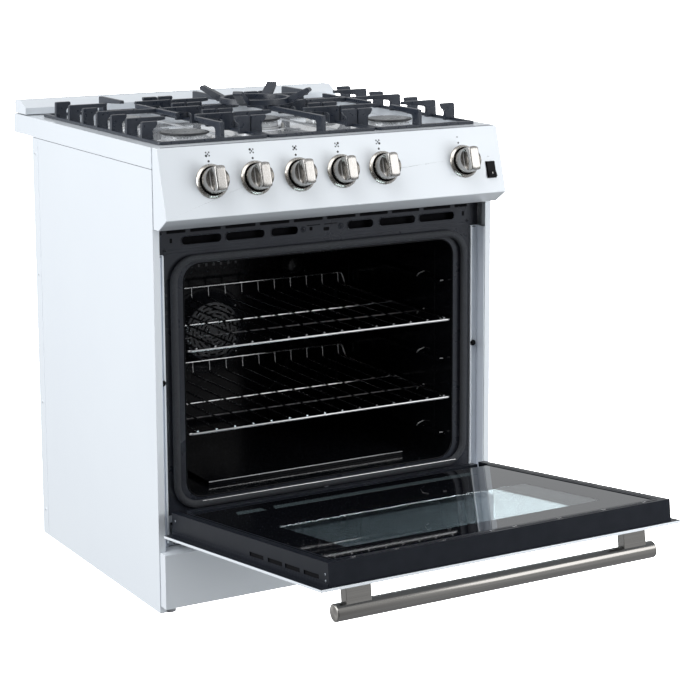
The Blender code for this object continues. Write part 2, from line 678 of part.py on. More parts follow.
def make_knobs():
    for number, x in enumerate(KNOB_X, start=1):
        centre = Vector((x, -KNOB_DROP, 0))
        stem = rod((0, 0, -0.030), (0, 0, 0.022), STEM_RADIUS, 10)
        stem.data.transform(Matrix.Translation(centre))
        node(f"valve_stem_{number}", stem, BRASS, panel_face, centre)
        body = turned([(0.0005, KNOB_LIFT), (KNOB_RADIUS, KNOB_LIFT), (KNOB_RADIUS, 0.014),
                       (KNOB_RADIUS - 0.0015, KNOB_FACE), (0.0005, KNOB_FACE)], 28)
        grip = box((-GRIP_HALF_WIDTH, -KNOB_RADIUS + 0.003, KNOB_FACE - 0.004),
                   (GRIP_HALF_WIDTH, KNOB_RADIUS - 0.003, GRIP_TOP))
        bore = rod((0, 0, 0.0), (0, 0, 0.022 + 2 * GAP), STEM_RADIUS + GAP, 10)
        knob = cut(joined([body, grip]), bore)
        knob.data.transform(Matrix.Translation(centre))
        node(f"knob_{number}", knob, STAINLESS, panel_face, centre)


def make_rocker_switch():
    centre = Vector((ROCKER_X, -ROCKER_DROP, 0))
    outline = [(-0.0155, -0.004), (0.0155, -0.004), (0.0155, 0.0055), (0, 0.0030), (-0.0155, 0.0055)]
    rocker = plate([outline], -0.0095, 0.0095, "x")
    rocker.data.transform(Matrix.Translation(centre))
    switch = node("rocker_switch", rocker, PLASTIC, panel_face, centre)
    switch.rotation_euler.x = -ROCKER_TILT


def make_gas_manifold():
    pipe_centre = ON_PANEL_FACE @ Vector((0, -KNOB_DROP, -0.060))
    pipe = rod((-0.30, *pipe_centre[1:]), (0.31, *pipe_centre[1:]), 0.008, 12)
    parts = [pipe]
    for x in KNOB_X:
        valve = box((x - 0.011, -KNOB_DROP - 0.011, -0.066), (x + 0.011, -KNOB_DROP + 0.011, -0.034))
        valve.data.transform(ON_PANEL_FACE)
        parts.append(valve)
    y, z = pipe_centre[1:]
    parts.append(tube([(-0.290, y, z), (-0.345, y, z), (-0.345, 0.560, z), (-0.345, 0.560, 0.090),
                       (-0.280, 0.560, 0.090), (-0.280, SIDE_DEPTH + 0.020, 0.090)], 0.007, sides=1))
    node("gas_manifold", joined(parts), GALVANISED)


# ---------------------------------------------------------------- door, drawn shut


def in_hinge_space(name, solid, finish):
    """Door pieces hang on the hinge empty, with their origin on its axis."""
    solid.data.transform(Matrix.Translation((0, -PIVOT_Y, -PIVOT_Z)))
    node(name, solid, finish, door_hinge)


def make_door_skin():
    window = rounded_rectangle((-WINDOW_HALF_WIDTH, WINDOW_BOTTOM), (WINDOW_HALF_WIDTH, WINDOW_TOP),
                               0.008, 2)
    skin = plate([rectangle((-DOOR_HALF_WIDTH, DOOR_BOTTOM), (DOOR_HALF_WIDTH, DOOR_TOP)), window],
                 DOOR_BACK_Y - DOOR_SKIN, DOOR_BACK_Y, "y")
    in_hinge_space("door_outer_panel", skin, WHITE)
    pane = plate([rounded_rectangle((-WINDOW_HALF_WIDTH + GAP, WINDOW_BOTTOM + GAP),
                                    (WINDOW_HALF_WIDTH - GAP, WINDOW_TOP - GAP), 0.008, 2)],
                 DOOR_BACK_Y - DOOR_SKIN + 0.0005, DOOR_BACK_Y, "y")
    in_hinge_space("door_outer_glass", pane, GLASS)


def make_door_core():
    hole = 0.038                   # width of the core's face round the glass
    glass_edge = 0.022
    face = rectangle((-CORE_HALF_WIDTH, CORE_BOTTOM), (CORE_HALF_WIDTH, CORE_TOP))
    opening = rectangle((-CORE_HALF_WIDTH + hole, CORE_BOTTOM + hole),
                        (CORE_HALF_WIDTH - hole, CORE_TOP - hole))
    core = plate([face, opening], DOOR_BACK_Y + GAP, CORE_INNER_Y, "y")
    glass_pocket = box((-CORE_HALF_WIDTH + glass_edge, CORE_INNER_Y - 0.0055, CORE_BOTTOM + glass_edge),
                       (CORE_HALF_WIDTH - glass_edge, CORE_INNER_Y + 0.01, CORE_TOP - glass_edge))
    wall = SHEET
    hollow = plate([rectangle((-CORE_HALF_WIDTH + wall, CORE_BOTTOM + wall),
                              (CORE_HALF_WIDTH - wall, CORE_TOP - wall)),
                    rectangle((-CORE_HALF_WIDTH + hole - wall, CORE_BOTTOM + hole - wall),
                              (CORE_HALF_WIDTH - hole + wall, CORE_TOP - hole + wall))],
                   DOOR_BACK_Y - 0.01, CORE_INNER_Y - 0.0055 - wall, "y")
    core = cut(core, glass_pocket, hollow)
    cutters = []
    for side in (-1, 1):
        notch_x = side * ARM_X
        cutters.append(box((notch_x - 0.008, DOOR_BACK_Y - 0.01, CORE_BOTTOM - 0.01),
                           (notch_x + 0.008, CORE_INNER_Y + 0.01, 0.1735)))
        for centre in (0.4875, 0.5585, 0.6235, 0.692):
            slot_x = side * CORE_HALF_WIDTH
            slot = box((slot_x - 0.01, DOOR_BACK_Y + 0.009, centre - 0.027),
                       (slot_x + 0.01, DOOR_BACK_Y + 0.017, centre + 0.027))
            cutters.append(slot)
    in_hinge_space("door_inner_frame", cut(core, *cutters), BLACK)
    inset = glass_edge + GAP
    pane = box((-CORE_HALF_WIDTH + inset, CORE_INNER_Y - 0.0051, CORE_BOTTOM + inset + 0.022),
               (CORE_HALF_WIDTH - inset, CORE_INNER_Y - 0.0011, CORE_TOP - inset))
    in_hinge_space("door_inner_glass", pane, GLASS)


def make_door_handle():
    bar = rod((-HANDLE_HALF_LENGTH, HANDLE_Y, HANDLE_Z), (HANDLE_HALF_LENGTH, HANDLE_Y, HANDLE_Z),
              HANDLE_RADIUS, 24)
    parts = [bar]
    for x in (-POST_X, POST_X):
        parts.append(box((x - POST_WIDTH / 2, HANDLE_Y, HANDLE_Z - POST_DEPTH / 2),
                         (x + POST_WIDTH / 2, DOOR_BACK_Y - DOOR_SKIN - GAP, HANDLE_Z + POST_DEPTH / 2)))
    in_hinge_space("door_handle", joined(parts), STAINLESS)


def make_hinge_arms():
    outline = [(-0.008, 0.142), (0.075, 0.142), (0.075, 0.168), (0.010, 0.168), (-0.008, 0.156)]
    for name, x in (("hinge_arm_left", -ARM_X), ("hinge_arm_right", ARM_X)):
        arm = plate([outline], x - ARM_HALF_THICKNESS, x + ARM_HALF_THICKNESS, "x")
        node(name, arm, GALVANISED)


make_side_panels()
make_back_panel()
make_base_pan()
make_legs()
make_kick_panel()
make_front_frame()
make_column_trims()
make_oven_cavity()
make_door_gasket()
make_oven_floor_panel()
make_oven_fan()
make_oven_burners()
make_oven_lamp()
make_racks()
make_cooktop()
make_vent_trim()
make_burners()
make_grates()
make_wok_ring()
make_control_panel()
make_knobs()
make_rocker_switch()
make_gas_manifold()
make_door_skin()
make_door_core()
make_door_handle()
make_hinge_arms()

door_hinge.rotation_euler.x = OPEN_ANGLE
bpy.context.view_layer.update()
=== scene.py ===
"""A freestanding gas range with its oven door let down, dressed for a studio picture.

Every length is in metres. Pieces are drawn in one of three spaces and carried to the
frame by a matrix: BODY (front edge of the side panels at y = 0), DOOR (the door drawn
shut, turned to its open angle) and FACE (the sloping control panel, Y up it, Z out).
"""
import math

import bmesh
import bpy
from mathutils import Matrix, Vector


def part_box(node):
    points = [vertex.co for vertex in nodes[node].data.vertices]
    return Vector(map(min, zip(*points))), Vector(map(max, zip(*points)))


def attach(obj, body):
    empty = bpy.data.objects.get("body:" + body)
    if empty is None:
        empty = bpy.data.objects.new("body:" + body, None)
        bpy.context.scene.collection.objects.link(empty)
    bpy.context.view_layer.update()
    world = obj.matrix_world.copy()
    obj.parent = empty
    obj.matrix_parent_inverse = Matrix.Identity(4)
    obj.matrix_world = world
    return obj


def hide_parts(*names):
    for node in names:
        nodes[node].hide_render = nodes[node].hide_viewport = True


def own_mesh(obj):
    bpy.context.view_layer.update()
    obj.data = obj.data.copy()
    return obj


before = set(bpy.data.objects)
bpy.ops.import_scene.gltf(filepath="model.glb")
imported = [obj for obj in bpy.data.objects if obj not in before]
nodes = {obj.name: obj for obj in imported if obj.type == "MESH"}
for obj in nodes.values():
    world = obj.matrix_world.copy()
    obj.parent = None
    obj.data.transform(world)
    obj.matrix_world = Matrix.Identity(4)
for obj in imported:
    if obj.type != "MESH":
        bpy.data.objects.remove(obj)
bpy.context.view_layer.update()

# ---------------------------------------------------------------- the three spaces
FRONT_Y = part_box("side_panel_right")[0].y
PIVOT = (0, -0.042, 0.151)
OPEN_ANGLE = math.radians(82.96)
PANEL_TOP = (0, -0.021, 0.915)
PANEL_SLOPE = math.atan2(0.915 - 0.783, -0.021 + 0.059)

BODY = Matrix.Translation((0, FRONT_Y, 0))
DOOR = (BODY @ Matrix.Translation(PIVOT) @ Matrix.Rotation(OPEN_ANGLE, 4, "X")
        @ Matrix.Translation(-Vector(PIVOT)))
FACE = BODY @ Matrix.Translation(PANEL_TOP) @ Matrix.Rotation(PANEL_SLOPE, 4, "X")
WORLD = Matrix.Identity(4)
FORWARD = Matrix.Rotation(math.radians(90), 4, "X")

KNOB_X = (-0.275, -0.181, -0.087, 0.007, 0.101, 0.289)
KNOB_DROP = 0.069
BURNERS = {
    "front_left": (-0.235, 0.165, 0.050), "back_left": (-0.235, 0.465, 0.040),
    "centre": (0.0, 0.315, 0.052), "front_right": (0.235, 0.165, 0.048),
    "back_right": (0.235, 0.465, 0.036)}
DECK = 0.899
FRAME_Y = 0.028
OVEN_BACK = 0.520
FAN = (-0.016, 0.430)
RACK_LEVELS = (0.262, 0.342, 0.422, 0.507, 0.588)
SIDES = ((-1, "left"), (1, "right"))

# ---------------------------------------------------------------- materials


def new_node(tree, kind, **values):
    """A shader node. A name with a capital sets an input, any other name a setting."""
    made = tree.nodes.new(kind)
    for key, value in values.items():
        if key[0].isupper():
            made.inputs[key.replace("_", " ")].default_value = value
        else:
            setattr(made, key, value)
    return made


class Paint:
    """A Principled material with helpers that add grain, wear and bump."""

    def __init__(self, name, colour, roughness, metallic=0.0, **sockets):
        self.material = bpy.data.materials.new(name)
        self.material.use_nodes = True
        self.tree = self.material.node_tree
        self.shader = self.tree.nodes["Principled BSDF"]
        self.colour = (*colour, 1.0)
        self.roughness = roughness
        self.set("Base Color", self.colour)
        self.set("Roughness", roughness)
        self.set("Metallic", metallic)
        for socket, value in sockets.items():
            self.set(socket.replace("_", " "), value)
        self.normal = None

    def set(self, socket, value):
        self.shader.inputs[socket].default_value = value

    def node(self, kind, **values):
        return new_node(self.tree, kind, **values)

    def link(self, source, target):
        self.tree.links.new(source, target)

    def place(self, stretch=(1, 1, 1)):
        """Object coordinates, stretched."""
        coords = self.node("ShaderNodeTexCoord")
        mapping = self.node("ShaderNodeMapping", Scale=stretch)
        self.link(coords.outputs["Object"], mapping.inputs["Vector"])
        return mapping.outputs["Vector"]

    def noise(self, scale, stretch=(1, 1, 1), detail=4.0):
        made = self.node("ShaderNodeTexNoise", Scale=scale, Detail=detail)
        self.link(self.place(stretch), made.inputs["Vector"])
        return made.outputs["Fac"]

    def spread(self, source, low, high, start=0.3, end=0.7):
        made = self.node("ShaderNodeMapRange", From_Min=start, From_Max=end, To_Min=low,
                         To_Max=high)
        self.link(source, made.inputs["Value"])
        return made.outputs["Result"]

    def rough(self, scale, change, stretch=(1, 1, 1)):
        value = self.spread(self.noise(scale, stretch), self.roughness - change,
                            self.roughness + change)
        self.link(value, self.shader.inputs["Roughness"])
        return self

    def tint(self, scale, other, stretch=(1, 1, 1), start=0.3, end=0.7):
        """Blend towards another colour with noise."""
        mix = self.node("ShaderNodeMix", data_type="RGBA")
        mix.inputs[6].default_value = self.colour
        mix.inputs[7].default_value = (*other, 1.0)
        self.link(self.spread(self.noise(scale, stretch), 0, 1, start, end), mix.inputs[0])
        self.link(mix.outputs[2], self.shader.inputs["Base Color"])
        return self

    def bump(self, scale, depth, stretch=(1, 1, 1)):
        made = self.node("ShaderNodeBump", Distance=depth, Strength=1.0)
        self.link(self.noise(scale, stretch), made.inputs["Height"])
        if self.normal is not None:
            self.link(self.normal, made.inputs["Normal"])
        self.normal = made.outputs["Normal"]
        self.link(self.normal, self.shader.inputs["Normal"])
        return self

    def turned(self, axis, amount):
        """Circular grain about an axis through the middle of the piece."""
        tangent = self.node("ShaderNodeTangent", direction_type="RADIAL", axis=axis)
        self.link(tangent.outputs["Tangent"], self.shader.inputs["Tangent"])
        self.set("Anisotropic", amount)
        return self


ENAMEL = Paint("white_enamel", (0.745, 0.785, 0.825), 0.22, Coat_Weight=0.25, Coat_Roughness=0.06)
ENAMEL.tint(3.0, (0.725, 0.765, 0.81)).rough(9, 0.04).bump(420, 0.00004)
DECK_ENAMEL = Paint("deck_enamel", (0.82, 0.85, 0.88), 0.10, Coat_Weight=1.0, Coat_Roughness=0.03)
DECK_ENAMEL.tint(14, (0.77, 0.80, 0.84)).rough(12, 0.04).bump(40, 0.00003)
BLACK = Paint("black_enamel", (0.0028, 0.0032, 0.0042), 0.12, Specular_IOR_Level=0.16)
BLACK.tint(60, (0.005, 0.0055, 0.007)).rough(12, 0.05).bump(300, 0.00004)
SATIN_BLACK = Paint("satin_black_enamel", (0.0060, 0.0080, 0.0125), 0.34, Specular_IOR_Level=0.22)
SATIN_BLACK.tint(40, (0.0085, 0.0105, 0.016)).rough(20, 0.05).bump(700, 0.00004)
RETAINER = Paint("retainer_enamel", (0.030, 0.033, 0.040), 0.20, Specular_IOR_Level=0.6)
RETAINER.tint(40, (0.040, 0.043, 0.050)).rough(20, 0.05)
FRAME_BLACK = Paint("frame_black_enamel", (0.017, 0.019, 0.026), 0.30, Specular_IOR_Level=0.4)
FRAME_BLACK.tint(25, (0.023, 0.026, 0.034)).rough(20, 0.05).bump(700, 0.00004)
GRILLE = Paint("fan_grille_enamel", (0.013, 0.014, 0.018), 0.20, Specular_IOR_Level=0.7)
GRILLE.tint(60, (0.022, 0.024, 0.029)).rough(30, 0.05).bump(300, 0.00004)
ELEMENT = Paint("element_steel", (0.06, 0.06, 0.064), 0.38, 0.8)
ELEMENT.tint(90, (0.14, 0.14, 0.145)).rough(50, 0.08).bump(250, 0.00003)
COLUMN = Paint("column_steel", (0.74, 0.79, 0.87), 0.45, 0.1)
COLUMN.tint(60, (0.80, 0.85, 0.92), (1, 1, 0.1)).rough(50, 0.08).bump(250, 0.00003)
ZINC = Paint("galvanised_steel", (0.30, 0.33, 0.37), 0.42, 0.6)
ZINC.tint(90, (0.37, 0.40, 0.44)).rough(50, 0.08).bump(250, 0.00003)
STEEL = Paint("brushed_steel", (0.40, 0.385, 0.365), 0.18, 1.0)
STEEL.tint(40, (0.31, 0.297, 0.28), (0.06, 30, 30)).rough(60, 0.03, (0.06, 30, 30))
STEEL.bump(60, 0.000002, (0.06, 40, 40))
END_STEEL = Paint("turned_steel", (0.46, 0.44, 0.41), 0.30, 1.0).turned("X", 0.85)
END_STEEL.tint(300, (0.38, 0.36, 0.335)).bump(900, 0.000005)
KNOB_STEEL = Paint("brushed_knob_steel", (0.52, 0.505, 0.485), 0.24, 1.0)
KNOB_STEEL.tint(60, (0.40, 0.385, 0.365), (30, 1, 1)).rough(80, 0.06, (30, 2, 1))
KNOB_STEEL.bump(90, 0.000006, (40, 2, 1))
# painted highlight: a near-white, half-metal finish that reads bright whatever the light, for the fillet
# line on the knobs and the glints on the rack guides
PAINTED_GLINT = Paint("painted_glint_bead", (0.92, 0.92, 0.92), 0.22, 0.35)
PAINTED_GLINT.tint(200, (0.80, 0.80, 0.80)).rough(80, 0.06)
BEZEL_STEEL = Paint("turned_bezel_steel", (0.58, 0.55, 0.51), 0.26, 1.0)
BEZEL_STEEL.tint(400, (0.46, 0.435, 0.40)).rough(300, 0.06)
CHROME = Paint("chromed_wire", (0.70, 0.70, 0.71), 0.16, 1.0)
CHROME.rough(40, 0.05).tint(30, (0.58, 0.58, 0.59)).bump(200, 0.00003)
IRON = Paint("cast_iron", (0.013, 0.018, 0.029), 0.32, Specular_IOR_Level=0.65)
IRON.tint(150, (0.019, 0.025, 0.038)).rough(90, 0.07).bump(900, 0.00006)
# painted sheen: the cap's top face is painted mid grey over the near-black rim, for the sky's reflection
# on black enamel
CAP = Paint("cap_sheen_enamel", (0.150, 0.158, 0.166), 0.30)
CAP.tint(120, (0.185, 0.193, 0.200)).rough(60, 0.06).bump(900, 0.00004)
CAP_EDGE = Paint("cap_edge_enamel", (0.012, 0.013, 0.016), 0.35)
CAP_EDGE.tint(120, (0.018, 0.020, 0.024)).rough(60, 0.06).bump(900, 0.00006)
ALLOY = Paint("cast_alloy", (0.86, 0.87, 0.88), 0.22, 0.55)
ALLOY.tint(120, (0.76, 0.77, 0.78)).rough(80, 0.08).bump(700, 0.00003)
GLASS = Paint("oven_glass", (0.62, 0.69, 0.71), 0.004, Transmission_Weight=1.0, IOR=1.5)
GLASS.rough(5, 0.003).bump(6, 0.000004)
# the lens is painted near black: painted shade for the unlit lamp behind the glass, its bump giving the
# glints
LENS = Paint("lamp_lens", (0.012, 0.012, 0.014), 0.05, Specular_IOR_Level=0.8)
LENS.rough(60, 0.03).bump(140, 0.0006)
FRIT = Paint("printed_glass_border", (0.004, 0.0045, 0.006), 0.03, IOR=1.5)
FRIT.rough(8, 0.006).bump(6, 0.000004)
BAND = Paint("pale_glass_band", (0.050, 0.066, 0.072), 0.06, IOR=1.5)
BAND.rough(8, 0.02).tint(60, (0.060, 0.078, 0.084))
BRAID = Paint("gasket_braid", (0.016, 0.018, 0.022), 0.75)
BRAID.tint(900, (0.050, 0.053, 0.060)).bump(1500, 0.0005)
FOOT_GREY = Paint("grey_foot_plastic", (0.30, 0.31, 0.33), 0.45)
FOOT_GREY.rough(60, 0.06).tint(200, (0.35, 0.36, 0.38)).bump(900, 0.00004)
PLASTIC = Paint("black_plastic", (0.003, 0.003, 0.004), 0.40, Specular_IOR_Level=0.12)
PLASTIC.rough(60, 0.06).bump(1500, 0.00004)
BRASS = Paint("turned_brass", (0.55, 0.42, 0.20), 0.3, 1.0)
BRASS.rough(60, 0.06).bump(400, 0.00004)
CERAMIC = Paint("igniter_ceramic", (0.80, 0.79, 0.76), 0.35)
CERAMIC.tint(300, (0.70, 0.69, 0.66)).rough(60, 0.06)
# painted shade: a near-black for sheets, discs and crosses that stand for the shade in holes, slots,
# grooves, vents and gaps
DARK = Paint("shadow_black", (0.003, 0.003, 0.004), 0.8, Specular_IOR_Level=0.1)
DARK.rough(60, 0.05).tint(80, (0.005, 0.005, 0.006))
PRINT = Paint("printed_mark", (0.012, 0.013, 0.015), 0.5)
PRINT.rough(60, 0.05).tint(500, (0.018, 0.019, 0.022))
PALE_PRINT = Paint("pale_printed_mark", (0.055, 0.060, 0.068), 0.5)
PALE_PRINT.rough(60, 0.05).tint(500, (0.085, 0.090, 0.10))
# painted shade: a dark grey for the shaded gap along the top of the control panel
SEAM_SHADE = Paint("seam_painted_shade", (0.16, 0.17, 0.19), 0.5)
SEAM_SHADE.rough(60, 0.05).tint(80, (0.20, 0.21, 0.23))

# ---------------------------------------------------------------- shape helpers


def shape_box(low, high):
    made = bmesh.new()
    bmesh.ops.create_cube(made, size=1)
    size = [b - a for a, b in zip(low, high)]
    middle = [(a + b) / 2 for a, b in zip(low, high)]
    bmesh.ops.transform(made, matrix=Matrix.Translation(middle) @ Matrix.Diagonal((*size, 1)),
                        verts=made.verts)
    return made


def rectangle(low, high):
    return [(low[0], low[1]), (high[0], low[1]), (high[0], high[1]), (low[0], high[1])]


def rounded(low, high, radius, steps=6):
    """Outline of a rectangle with round corners."""
    points = []
    corners = ((high[0] - radius, high[1] - radius, 0), (low[0] + radius, high[1] - radius, 90),
               (low[0] + radius, low[1] + radius, 180), (high[0] - radius, low[1] + radius, 270))
    for x, y, start in corners:
        for step in range(steps + 1):
            turn = math.radians(start + 90 * step / steps)
            points.append((x + radius * math.cos(turn), y + radius * math.sin(turn)))
    return points


def circle(radius, steps=24, x=0.0, y=0.0):
    return [(x + radius * math.cos(math.tau * n / steps), y + radius * math.sin(math.tau * n / steps))
            for n in range(steps)]


FLAT = {"z": Matrix.Identity(4),
        "y": Matrix(((1, 0, 0, 0), (0, 0, 1, 0), (0, 1, 0, 0), (0, 0, 0, 1))),
        "x": Matrix(((0, 0, 1, 0), (1, 0, 0, 0), (0, 1, 0, 0), (0, 0, 0, 1)))}


def prism(outlines, low, high, axis="z"):
    """Flat outlines, the later ones holes in the first, given a thickness along an axis."""
    made = bmesh.new()
    for outline in outlines:
        corners = [made.verts.new((u, v, low)) for u, v in outline]
        for first, second in zip(corners, corners[1:] + corners[:1]):
            made.edges.new((first, second))
    bmesh.ops.triangle_fill(made, edges=made.edges[:], use_beauty=True)
    if len(outlines) == 1:
        bmesh.ops.dissolve_limit(made, angle_limit=0.01, verts=made.verts[:], edges=made.edges[:])
    raised = bmesh.ops.extrude_face_region(made, geom=made.faces[:])["geom"]
    corners = [v for v in raised if isinstance(v, bmesh.types.BMVert)]
    bmesh.ops.translate(made, verts=corners, vec=(0, 0, high - low))
    bmesh.ops.transform(made, matrix=FLAT[axis], verts=made.verts)
    return made


def sweep(points, radius, closed=False, sides=12, squeeze=1.0, up=None):
    """A rod along points. squeeze flattens it towards the up direction."""
    made = bmesh.new()
    path = [Vector(p) for p in points]
    count = len(path)
    side = None
    rings = []
    for number, point in enumerate(path):
        if closed:
            ahead = path[(number + 1) % count] - path[number - 1]
        else:
            ahead = path[min(number + 1, count - 1)] - path[max(number - 1, 0)]
        ahead.normalize()
        if up is not None:
            side = Vector(up)
        elif side is None:
            side = ahead.orthogonal()
        side = (side - ahead * side.dot(ahead)).normalized()
        across = ahead.cross(side)
        ring = []
        for turn in range(sides):
            angle = math.tau * turn / sides
            ring.append(made.verts.new(point + radius * (side * math.cos(angle) * squeeze
                                                         + across * math.sin(angle))))
        rings.append(ring)
    pairs = list(zip(rings, rings[1:]))
    if closed:
        pairs.append((rings[-1], rings[0]))
    for first, second in pairs:
        for turn in range(sides):
            after = (turn + 1) % sides
            made.faces.new((first[turn], first[after], second[after], second[turn]))
    if not closed:
        made.faces.new(rings[0])
        made.faces.new(rings[-1])
    return made


def curved(points, radius, steps=5):
    """Points of a bent wire whose corners have a bend radius."""
    path = [Vector(p) for p in points]
    made = [path[0]]
    for before, corner, after in zip(path, path[1:], path[2:]):
        start = corner + (before - corner).normalized() * radius
        end = corner + (after - corner).normalized() * radius
        for step in range(steps + 1):
            t = step / steps
            made.append(start * (1 - t) ** 2 + corner * 2 * t * (1 - t) + end * t ** 2)
    made.append(path[-1])
    return made


def lathe(profile, segments=48, teeth=0, depth=0.0):
    """A turned shape about Z from (radius, z) points. A third number takes that share of
    the tooth depth off the radius between teeth."""
    made = bmesh.new()
    count = teeth * 4 or segments
    rings = []
    for entry in profile:
        radius, z = entry[:2]
        share = entry[2] if len(entry) > 2 else 0.0
        ring = []
        for number in range(count):
            angle = math.tau * number / count
            gap = teeth and number % 4 in (2, 3)
            reach = radius - (share * depth if gap else 0.0)
            ring.append(made.verts.new((reach * math.cos(angle), reach * math.sin(angle), z)))
        rings.append(ring)
    for first, second in zip(rings, rings[1:]):
        for number in range(count):
            after = (number + 1) % count
            made.faces.new((first[number], first[after], second[after], second[number]))
    if profile[0] != profile[-1]:
        made.faces.new(rings[0])
        made.faces.new(rings[-1])
    else:
        bmesh.ops.remove_doubles(made, verts=made.verts, dist=0.000001)
    return made


def moved(shape, matrix):
    bmesh.ops.transform(shape, matrix=matrix, verts=shape.verts)
    return shape


def at(x, y, z, turn=0.0, axis="Z"):
    return Matrix.Translation((x, y, z)) @ Matrix.Rotation(turn, 4, axis)


def merged(shapes):
    made = bmesh.new()
    mesh = bpy.data.meshes.new("part")
    for shape in shapes:
        bmesh.ops.recalc_face_normals(shape, faces=shape.faces)
        shape.to_mesh(mesh)
        shape.free()
        made.from_mesh(mesh)
    bpy.data.meshes.remove(mesh)
    return made


def make(name, shape, space, body, paint, bevel=0.0, angle=35, stands_for=()):
    """Turn a bmesh into a named piece that rides on a body."""
    bmesh.ops.recalc_face_normals(shape, faces=shape.faces)
    mesh = bpy.data.meshes.new(name)
    shape.to_mesh(mesh)
    shape.free()
    mesh.transform(space)
    piece = bpy.data.objects.new(name, mesh)
    bpy.context.scene.collection.objects.link(piece)
    mesh.materials.append(paint.material)
    finish_edges(piece, bevel, angle, weld=False)
    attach(piece, body)
    if stands_for:
        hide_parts(*stands_for)
    return piece


def finish_edges(piece, bevel, angle=35, weld=True):
    """Round the sharp edges of a piece and shade it smooth between them."""
    if weld:
        weld_step = piece.modifiers.new("weld", "WELD")
        weld_step.merge_threshold = 0.00001
    if bevel:
        rounding = piece.modifiers.new("bevel", "BEVEL")
        rounding.width = bevel
        rounding.segments = 3
        rounding.limit_method = "ANGLE"
        rounding.angle_limit = math.radians(angle)
    for face in piece.data.polygons:
        face.use_smooth = True
    if bevel:
        normals = piece.modifiers.new("normals", "WEIGHTED_NORMAL")
        normals.keep_sharp = True
        normals.weight = 100
    else:
        sharp = piece.modifiers.new("sharp", "EDGE_SPLIT")
        sharp.split_angle = math.radians(angle)


def dress(names, paint, bevel=0.0, angle=35, join_flat=False):
    """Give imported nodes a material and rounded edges. join_flat first turns the triangles
    of each flat face into one face."""
    for name in names:
        piece = nodes[name]
        piece.data.materials.clear()
        piece.data.materials.append(paint.material)
        if join_flat:
            flat = piece.modifiers.new("join_flat", "DECIMATE")
            flat.decimate_type = "DISSOLVE"
            flat.angle_limit = math.radians(0.4)
        finish_edges(piece, bevel, angle)


dress(("side_panel_left", "side_panel_right", "kick_panel", "rear_vent_trim",
       "door_outer_panel"), ENAMEL, 0.0006)
dress(("cooktop",), ENAMEL, 0.0012)
dress(("control_panel",), ENAMEL, 0.0014, join_flat=True)
dress(("door_inner_frame",), SATIN_BLACK, 0.0003)
dress(("front_frame",), FRAME_BLACK, 0.0003)
dress(("oven_cavity", "oven_floor_panel"), BLACK, 0.0003)
dress(("column_trim_left", "column_trim_right"), COLUMN)
dress(("back_panel", "base_pan", "gas_manifold", "hinge_arm_left", "hinge_arm_right",
       "fan_blade", "bake_burner"), ZINC)
dress([f"valve_stem_{n}" for n in range(1, 7)], BRASS)
dress(("door_outer_glass",), GLASS)
dress(("oven_lamp",), LENS)
dress(("rocker_switch",), PLASTIC, 0.0005)
dress(("leg_front_left", "leg_front_right", "leg_back_left", "leg_back_right"), FOOT_GREY, 0.0005)

# ---------------------------------------------------------------- oven racks


RACK_WIRES, WIRE_PITCH = 15, 0.0404
BAR_FROM_FRONT, BRACE_FROM_FRONT = 0.2245, 0.1165


def rack(name):
    """A wire rack: a bent frame rod, wires that turn up at the back, and two cross bars."""
    low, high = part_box(name)
    rail = 0.003
    half = high.x - rail
    base, front, back = low.z + rail, low.y + rail, high.y - rail
    wire_z = base + rail + 0.0016
    top, end = high.z - rail, half - 2 * rail
    frame_rod = curved([(0, front, base), (half, front, base), (half, back - 0.010, base),
                        (end, back - 0.002, top), (-end, back - 0.002, top),
                        (-half, back - 0.010, base), (-half, front, base), (0, front, base)], 0.010)
    rods = [sweep(frame_rod[:-1], rail, closed=True, sides=12)]
    rear = back - 0.0050
    for number in range(RACK_WIRES):
        x = (number - RACK_WIRES // 2) * WIRE_PITCH
        bend = curved([(x, front - 0.0022, wire_z), (x, rear - 0.002, wire_z), (x, rear, top)], 0.007)
        rods.append(sweep(bend, 0.002, sides=8))
    bar_y, bar_z = low.y + BAR_FROM_FRONT, base + 0.0008
    rods.append(sweep([(-half, bar_y, bar_z), (half, bar_y, bar_z)], 0.0028, sides=8))
    brace_y = low.y + BRACE_FROM_FRONT
    brace = sweep([(-half, brace_y, base), (half, brace_y, base)], 0.0016, sides=8)
    make(name + "_front_brace", brace, WORLD, name, ELEMENT, angle=50)
    make(name + "_wires", merged(rods), WORLD, name, CHROME, angle=50,
         stands_for=[name])


rack("rack_upper")
rack("rack_lower")

# ---------------------------------------------------------------- grates

RAIL_LOW, RAIL_HIGH, GRATE_TOP, BAR = 0.9154, 0.9214, 0.952, 0.009
FINGER_Y = [0.103 + 0.0727 * step for step in range(7)]


def finger_outline(reach):
    """Side view of a finger, (inward, z): a leg with a round shoulder and a tapered arm."""
    foot, top, leg = RAIL_LOW + 0.0012, GRATE_TOP, 0.024
    under = top - 0.0125
    fillet = [(leg + 0.006 * (1 - math.cos(a)), under - 0.007 + 0.007 * math.sin(a))
              for a in (0.0, 0.4, 0.8, 1.2, 1.5)]
    shoulder = [(0.0045 - 0.0035 * math.sin(a), top - 0.0035 + 0.0035 * math.cos(a))
                for a in (0.0, 0.4, 0.8, 1.2)]
    return [(0, foot), (leg + 0.001, foot), *fillet, (reach - 0.001, top - 0.0065),
            (reach, top - 0.0045), (reach - 0.001, top), *shoulder]


